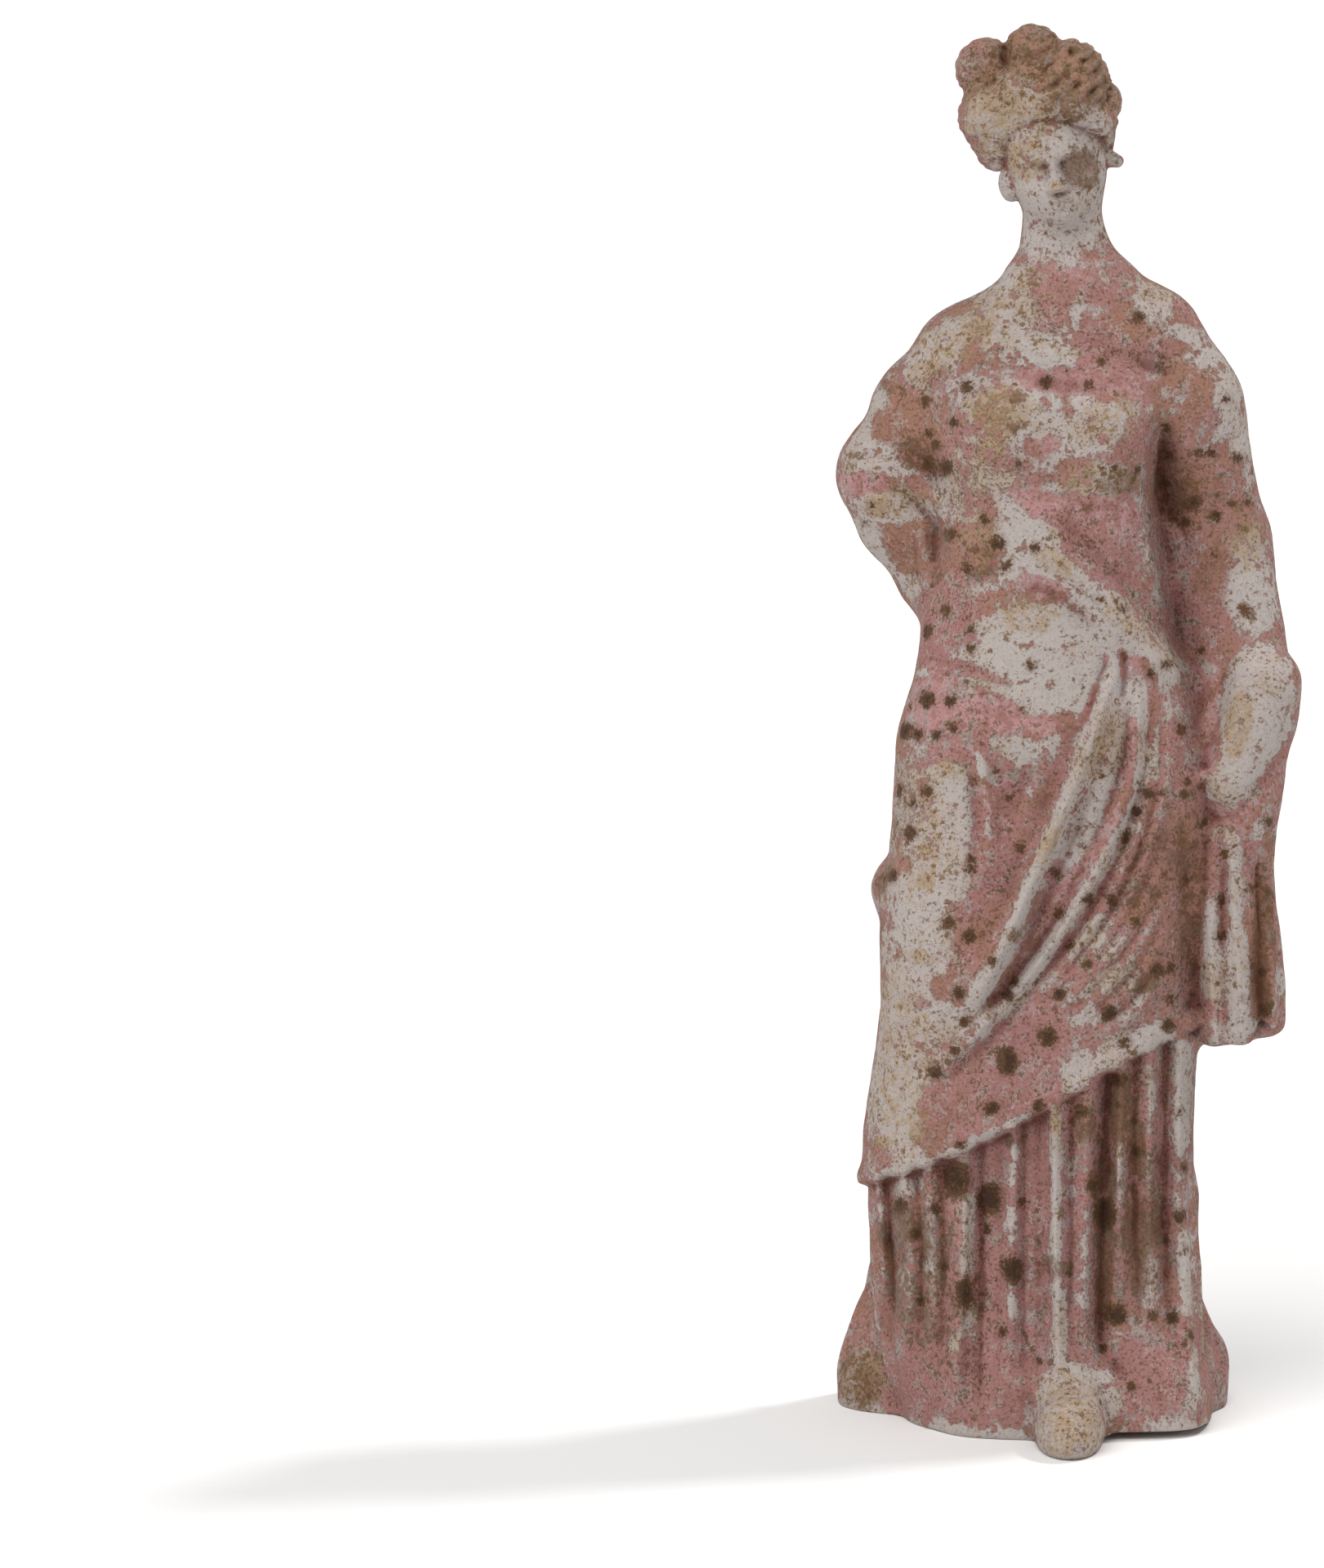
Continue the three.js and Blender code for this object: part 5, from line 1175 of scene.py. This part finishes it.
def thin_out(made, chosen, triangles):
    """Merges the chosen points where the surface is even, until that many triangles are left"""
    mesh = made.data
    corners = np.empty(len(mesh.polygons), np.int32)
    mesh.polygons.foreach_get("loop_total", corners)
    group = made.vertex_groups.new(name="Thinned")
    group.add(np.flatnonzero(chosen).tolist(), EVEN_SPACING, "REPLACE")
    fewer = made.modifiers.new("Fewer faces", "DECIMATE")
    fewer.ratio = min(1.0, triangles / float((corners - 2).sum()))
    fewer.use_collapse_triangulate = True
    fewer.vertex_group = group.name
    fewer.vertex_group_factor = 1.0
    graph = bpy.context.evaluated_depsgraph_get()
    thinned = bpy.data.meshes.new_from_object(made.evaluated_get(graph))
    made.modifiers.clear()
    made.vertex_groups.clear()
    made.data = thinned
    bpy.data.meshes.remove(mesh)


def seen_from_front(points):
    """True for the front and the whole head, which keep a finer mesh"""
    return (points[:, 1] < -1.0) & (points[:, 2] > 0.4) | (points[:, 2] > NECK_LOW)


def smoothed(points, edges, times):
    counts = np.bincount(edges.ravel(), minlength=len(points))[:, None] + 1.0
    for _ in range(times):
        total = points.copy()
        for k in range(3):
            total[:, k] += np.bincount(edges[:, 0], points[edges[:, 1], k], len(points))
            total[:, k] += np.bincount(edges[:, 1], points[edges[:, 0], k], len(points))
        points = total / counts
    return points


def weather(points, normals, depth):
    """Shallow unevenness left by the hands, the mould and wear"""
    uneven = layered_noise(points, WEAR_SIZE, 4, SEED)
    grounded = step_between(points[:, 2], 0.6, 2.0)
    return points + normals * (uneven * depth * grounded)[:, None]


def build_clay(form):
    step = form.mesh_step / MM
    volume = sample_volume(step)
    points, quads = net_surface(volume, step)
    points = pull_to_surface(points, step)
    made = new_object("terracotta_figurine", new_mesh("terracotta_figurine", points, quads))
    front = seen_from_front(points)
    front_share = front.mean()
    plain = int(form.triangles * PLAIN_SHARE)
    thin_out(made, ~front, int(2 * len(quads) * front_share) + plain)
    thin_out(made, seen_from_front(mesh_points(made.data)), form.triangles)
    mesh = made.data
    mesh.name = "terracotta_figurine"
    mesh.shade_smooth()
    place_points(mesh, weather(mesh_points(mesh), mesh_normals(mesh), form.wear / MM))
    return made


# Marks of slip, paint and dirt, laid out on the drawing plane


def marks(patches, strokes=(), ground=0.0):
    sheet = Sheet()
    sheet.values += ground
    for row in patches:
        sheet.blot(*row)
    for points, width, height in strokes:
        sheet.fold(points, height, width, MARK_FADE, MARK_FADE, 0, MARK_POWER)
    return sheet


def spot_reach(u, v):
    """How far inside its nearest spot a point lies, in millimetres; negative outside"""
    best = np.full(len(u), SPOTLESS)
    for spot_u, spot_v, radius in SPOTS:
        best = np.maximum(best, radius - np.hypot(u - spot_u, v - spot_v))
    for spot_u, spot_v, half_u, half_v in TALL_SPOTS:
        away = np.hypot((u - spot_u) / half_u, (v - spot_v) / half_v)
        best = np.maximum(best, (1 - away) * half_u)
    return best


def mark_clay(mesh):
    """Keeps on each point what the paint needs: relief, slip, rose, ochre, umber and spots"""
    points = mesh_points(mesh)
    normals = mesh_normals(mesh)
    x, y, z = points.T
    facing = facing_back(x, y, z)
    edges = mesh_edges(mesh)
    towards_eye = -smoothed(normals, edges, SMOOTHING)[:, 1]
    front = step_between(-facing, -0.6, -0.1) * step_between(towards_eye, 0.05, 0.35)
    u, v = drawing_plane(x, y, z)
    # Relief: slip on the ridges, dust and painted shade in the hollows, less of it on the back
    sunk = ((smoothed(points, edges, SMOOTHING) - points) * normals).sum(1)
    store(mesh, "relief", np.clip(-sunk, -1.0, 1.0) * mix(BACK_RELIEF, 1.0, front))
    plain_slip = 0.35 * layered_noise(points, 16.0, 2, SEED + 1) - 0.15
    plain_ochre = 0.3 + 0.5 * layered_noise(points, 14.0, 2, SEED + 2)
    plain_umber = 0.1 + 0.4 * layered_noise(points, 18.0, 2, SEED + 3)
    for name, plain, sheet in (
            ("slip", plain_slip, marks(SLIP_PATCHES, SLIP_STROKES, SLIP_GROUND)),
            ("ochre", plain_ochre, marks(OCHRE_PATCHES)),
            ("umber", plain_umber, marks(UMBER_PATCHES, UMBER_STROKES)),
            ("rose", 0.4, marks(ROSE_PATCHES)),
            ("pink", 0.3, marks(PINK_PATCHES))):
        store(mesh, name, mix(plain, sheet.sample(u, v), front))
    store(mesh, "spots", mix(SPOTLESS, spot_reach(u, v), front))


# Materials


def linear(colour):
    """A colour as seen on a screen, in the linear numbers that shaders use"""
    seen = np.array(colour[:3], float)
    low = seen / 12.92
    high = ((seen + 0.055) / 1.055) ** 2.4
    return (*np.where(seen <= 0.04045, low, high).tolist(), 1.0)


class Value:
    """A socket's output; arithmetic on it adds Math nodes"""

    def __init__(self, maker, socket):
        self.maker = maker
        self.socket = socket

    def maths(self, operation, first, second):
        return self.maker.node("ShaderNodeMath", {"operation": operation}, {0: first, 1: second})

    def __add__(self, other):
        return self.maths("ADD", self, other)

    def __radd__(self, other):
        return self.maths("ADD", other, self)

    def __sub__(self, other):
        return self.maths("SUBTRACT", self, other)

    def __rsub__(self, other):
        return self.maths("SUBTRACT", other, self)

    def __mul__(self, other):
        return self.maths("MULTIPLY", self, other)

    def __neg__(self):
        return self.maths("MULTIPLY", self, -1.0)


class NodeMaker:
    """Adds the nodes of one material"""

    def __init__(self, name):
        self.material = bpy.data.materials.new(name)
        self.material.use_nodes = True
        self.tree = self.material.node_tree
        self.tree.nodes.clear()

    def node(self, kind, settings=None, values=None, out=0):
        made = self.tree.nodes.new(kind)
        for name, value in (settings or {}).items():
            setattr(made, name, value)
        for name, value in (values or {}).items():
            if isinstance(value, Value):
                self.tree.links.new(value.socket, made.inputs[name])
            else:
                made.inputs[name].default_value = value
        return Value(self, made.outputs[out]) if len(made.outputs) else None

    def mark(self, name):
        settings = {"attribute_type": "GEOMETRY", "attribute_name": name}
        return self.node("ShaderNodeAttribute", settings, out=2)

    def place(self):
        """Object coordinates in millimetres"""
        where = self.node("ShaderNodeTexCoord", out=3)
        times = (1.0 / MM,) * 3
        return self.node("ShaderNodeVectorMath", {"operation": "MULTIPLY"}, {0: where, 1: times})

    def shift(self, where, by):
        return self.node("ShaderNodeVectorMath", {"operation": "ADD"}, {0: where, 1: by})

    def cloudy(self, where, size, detail, roughness, gain):
        """Noise around zero, mostly within one either way; size in millimetres"""
        values = {"Vector": where, "Scale": 1.0 / size, "Detail": detail, "Roughness": roughness}
        return (self.node("ShaderNodeTexNoise", None, values) - 0.5) * gain

    def rise(self, value, low, high):
        """Nought below low, one above high and smooth between"""
        settings = {"interpolation_type": "SMOOTHSTEP"}
        return self.node("ShaderNodeMapRange", settings,
                         {"Value": value, "From Min": low, "From Max": high})

    def blend(self, share, first, second, kind="MIX"):
        settings = {"data_type": "RGBA", "blend_type": kind}
        return self.node("ShaderNodeMix", settings, {0: share, 6: first, 7: second}, out=2)

    def specks(self, where, spacing, largest, sharp):
        """Round dots of random sizes, spaced in millimetres, as a share of the cover"""
        values = {"Vector": where, "Scale": 1.0 / spacing}
        away = self.node("ShaderNodeTexVoronoi", None, values)
        colour = Value(self, away.socket.node.outputs["Color"])
        chance = self.node("ShaderNodeSeparateColor", None, {0: colour})
        size = chance * chance * chance * largest
        return self.rise(size - away, 0.0, sharp)


def painted_terracotta(paint):
    """Fired clay with rose paint over a white slip, both worn off in patches, and stained"""
    m = NodeMaker("painted_terracotta")
    slip, russet, umber = (linear(seen) for seen in (paint.slip, paint.russet, paint.umber))
    where = m.place()
    relief = m.mark("relief")
    broad = m.cloudy(where, 11.0, 3.0, 0.55, 7.0)
    patchy = m.cloudy(m.shift(where, (31.0, 7.0, 3.0)), 4.2, 9.0, 0.72, 10.0)
    islands = m.cloudy(m.shift(where, (11.0, 17.0, 23.0)), 2.0, 6.0, 0.7, 9.0)
    crumbly = m.cloudy(m.shift(where, (5.0, 43.0, 9.0)), 1.1, 7.0, 0.78, 10.0)
    fine = m.cloudy(m.shift(where, (15.0, 4.0, 29.0)), 0.5, 3.0, 0.75, 9.0)

    # How much slip is left: ridges keep it, hollows lose it
    laid = m.rise(m.mark("slip"), -1.0, 1.0) * 2.0 - 1.0
    left = laid + relief * 1.1 + patchy * 0.55 + islands * 0.7 + crumbly * 0.4 + paint.slip_amount
    white = m.rise(left, -0.12, 0.26)
    thin = m.rise(left, 0.15, 1.1)
    margin = m.rise(left, -1.0, -0.1)

    # Bare clay and worn rose paint, pinker towards the slip, under a lace of slip and darker grains
    rosy = m.rise(m.mark("rose") + broad * 0.25 + patchy * 0.3, 0.0, 0.7)
    ground = m.blend(rosy, linear(paint.clay), linear(paint.rose))
    ground = m.blend(m.rise(islands * 0.6 - broad * 0.6, 0.0, 1.0) * 0.45, ground, russet)
    ground = m.blend(m.rise(fine * 0.9 + crumbly * 0.6, 0.0, 0.9) * 0.6, ground, russet)
    fresh = m.rise(m.mark("pink") + margin * 0.35 + islands * 0.4 + patchy * 0.3, 0.45, 1.0)
    ground = m.blend(fresh * 0.8, ground, linear(paint.pink))
    lace = patchy * 0.3 + islands * 0.3 + crumbly * 0.3 - fine * 0.25 + left * 0.75
    veil = m.rise(lace, -0.35, 0.45)
    ground = m.blend(veil * 0.65, ground, slip)

    # Slip, worn thin at its edges, browner and yellower in places
    yellow = m.rise(crumbly * 0.35 + broad * 0.8 + islands * 0.3, -0.1, 1.0)
    cover = m.blend(yellow * 0.45, slip, linear(paint.ochre))
    cover = m.blend((1.0 - thin) * m.rise(islands - crumbly * 0.5, -0.5, 0.8) * 0.6, cover, ground)
    cover = m.blend(m.rise(fine + crumbly * 0.4 + broad * 0.4, 0.5, 1.3) * 0.2, cover, umber)
    surface = m.blend(white, ground, cover)

    # Stains
    ochre = m.rise(m.mark("ochre") * 0.75 + islands * 0.4 + crumbly * 0.35, 0.25, 1.05)
    browned = m.rise(crumbly * 0.7 + fine * 0.5, 0.0, 0.9)
    deposit = m.blend(browned * 0.55, linear(paint.ochre), umber)
    surface = m.blend(ochre * 0.75, surface, deposit)
    dirt = m.mark("umber") * 0.95 + patchy * 0.3 + islands * 0.35 + crumbly * 0.35 - relief * 0.5
    surface = m.blend(m.rise(dirt, 0.3, 1.1) * 0.75, surface, umber)

    # Dark spots with a crumbly edge and a soft rim, and small dots and specks, most in the dirt
    reach = m.mark("spots") + islands * 0.15 + crumbly * 0.25 + fine * 0.2
    surface = m.blend(m.rise(reach, -1.0, 0.3) * 0.5, surface, umber)
    spot = m.rise(reach, -0.08, 0.18)
    heart = m.rise(reach + crumbly * 0.4, 0.1, 0.9)
    stain = m.blend(heart * 0.8 + 0.2, umber, linear(paint.spot))
    surface = m.blend(spot * 0.95, surface, stain)
    grime = m.rise(dirt + broad * 0.6, -0.1, 0.9)
    speck = m.rise(crumbly + fine * 0.7 + grime * 1.1, 1.35, 1.8)
    surface = m.blend(speck * 0.65, surface, umber)
    dots = m.specks(where, 2.6, 0.3, 0.06) * m.rise(grime + islands * 0.4, 0.0, 0.4)
    surface = m.blend(dots * 0.8, surface, stain)
    grains = m.specks(where, 0.75, 0.42, 0.12) * m.rise(islands + grime, 0.0, 1.1)
    surface = m.blend(grains * 0.55, surface, umber)

    # Uneven grain, and dust and shade in the hollows
    grain = m.rise(fine * 0.5 - crumbly * 0.6 - islands * 0.3, -0.1, 1.1)
    surface = m.blend(grain * 0.55, surface, linear(GRAIN_TINT), "MULTIPLY")
    # Painted shade and dust: the hollows of the relief are darkened by a multiplied tint
    sunk = m.rise(-relief, 0.03, 0.45)
    surface = m.blend(sunk * 0.7, surface, linear(HOLLOW_SHADE_AND_DUST), "MULTIPLY")

    height = white * 0.06 + crumbly * 0.04 + fine * 0.02 + patchy * 0.02 - speck * 0.06 + spot * 0.05
    bumped = m.node("ShaderNodeBump", None, {"Strength": 1.0, "Distance": MM, "Height": height})
    shader = m.node("ShaderNodeBsdfPrincipled", None, {
        "Base Color": surface, "Roughness": 0.88 + fine * 0.03 - white * 0.05, "Normal": bumped,
        "Specular IOR Level": 0.22})
    m.node("ShaderNodeOutputMaterial", None, {"Surface": shader})
    return m.material


def pale_floor(stage):
    m = NodeMaker("pale_floor")
    shader = m.node("ShaderNodeBsdfPrincipled", None, {
        "Base Color": linear(stage.floor), "Roughness": 0.9, "Specular IOR Level": 0.1})
    m.node("ShaderNodeOutputMaterial", None, {"Surface": shader})
    return m.material


# Stage


def add_floor(stage):
    """A wide round floor, so that no edge of it shows behind the figurine"""
    turns = 96
    radii = [0.0, 1.0, 5.0, 20.0, 60.0]
    points = [[0.0, 0.0, 0.0]]
    for radius in radii[1:]:
        for k in range(turns):
            a = 2 * math.pi * k / turns
            points.append([radius * math.cos(a), radius * math.sin(a), 0.0])
    faces = []
    for k in range(turns):
        faces.append((0, 1 + k, 1 + (k + 1) % turns))
    for row in range(len(radii) - 2):
        for k in range(turns):
            a = 1 + row * turns + k
            b = 1 + row * turns + (k + 1) % turns
            faces.append((a, a + turns, b + turns, b))
    mesh = bpy.data.meshes.new("floor")
    mesh.from_pydata(points, [], faces)
    floor = new_object("floor", mesh)
    mesh.materials.append(pale_floor(stage))


def add_light(name, turn, height, softness, strength, colour):
    """A distant soft light, so many degrees round to the right and above the floor"""
    lamp = bpy.data.lights.new(name, "SUN")
    lamp.energy = strength
    lamp.angle = math.radians(softness)
    lamp.color = colour
    made = new_object(name, lamp)
    made.location = (0.0, 0.0, 1.0)
    made.rotation_euler = (math.radians(90 - height), 0.0, math.radians(turn))


def add_camera(stage):
    camera = bpy.data.cameras.new("camera")
    camera.lens = stage.lens
    camera.sensor_width = 36.0
    camera.clip_start = 0.05
    camera.clip_end = 50.0
    made = new_object("camera", camera)
    made.location = (0.0, -stage.eye_distance, stage.eye_height)
    made.rotation_euler = [math.radians(a) for a in CAMERA_TURN]
    bpy.context.scene.camera = made


def add_surroundings(brightness):
    world = bpy.data.worlds.new("surroundings")
    world.use_nodes = True
    world.node_tree.nodes["Background"].inputs["Color"].default_value = (1.0, 1.0, 1.0, 1.0)
    world.node_tree.nodes["Background"].inputs["Strength"].default_value = brightness
    bpy.context.scene.world = world


# Operators


class AddFigurine(bpy.types.Operator):
    """Builds the draped figurine in worn, painted terracotta"""

    bl_idname = "figurine.add_figurine"
    bl_label = "Figurine"

    def execute(self, context):
        settings = context.scene
        made = build_clay(settings.figurine_form)
        mark_clay(made.data)
        made.data.materials.append(painted_terracotta(settings.figurine_paint))
        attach(made, "root")
        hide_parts("figurine")
        return {"FINISHED"}


class SetStage(bpy.types.Operator):
    """Adds the floor, the lights and the camera"""

    bl_idname = "figurine.set_stage"
    bl_label = "Stage"

    def execute(self, context):
        stage = context.scene.figurine_stage
        add_floor(stage)
        add_light("key", -30.0, 48.0, 50.0, stage.key_strength, (1.0, 0.99, 0.97))
        add_light("side", 117.0, 56.0, 7.0, stage.side_strength, (1.0, 0.99, 0.98))
        add_surroundings(stage.surroundings)
        add_camera(stage)
        context.scene.view_settings.view_transform = "Standard"
        return {"FINISHED"}


class FigurinePanel(bpy.types.Panel):
    """Lists the figurine's steps and settings"""

    bl_idname = "VIEW3D_PT_figurine"
    bl_label = "Terracotta figurine"
    bl_space_type = "VIEW_3D"
    bl_region_type = "UI"
    bl_category = "Figurine"

    def draw(self, context):
        scene = context.scene
        for operator, settings in (
                (AddFigurine, (scene.figurine_form, scene.figurine_paint)),
                (SetStage, (scene.figurine_stage,))):
            box = self.layout.box()
            box.operator(operator.bl_idname)
            for group in settings:
                for name in group.bl_rna.properties.keys():
                    if name not in ("rna_type", "name"):
                        box.prop(group, name)


CLASSES = (FigurineForm, FigurinePaint, FigurineStage, AddFigurine, SetStage, FigurinePanel)


def register():
    for made in CLASSES:
        bpy.utils.register_class(made)
    bpy.types.Scene.figurine_form = bpy.props.PointerProperty(type=FigurineForm)
    bpy.types.Scene.figurine_paint = bpy.props.PointerProperty(type=FigurinePaint)
    bpy.types.Scene.figurine_stage = bpy.props.PointerProperty(type=FigurineStage)


def unregister():
    del bpy.types.Scene.figurine_stage
    del bpy.types.Scene.figurine_paint
    del bpy.types.Scene.figurine_form
    for made in reversed(CLASSES):
        bpy.utils.unregister_class(made)


def main():
    register()
    bpy.ops.figurine.add_figurine()
    bpy.ops.figurine.set_stage()


if __name__ == "__main__":
    main()
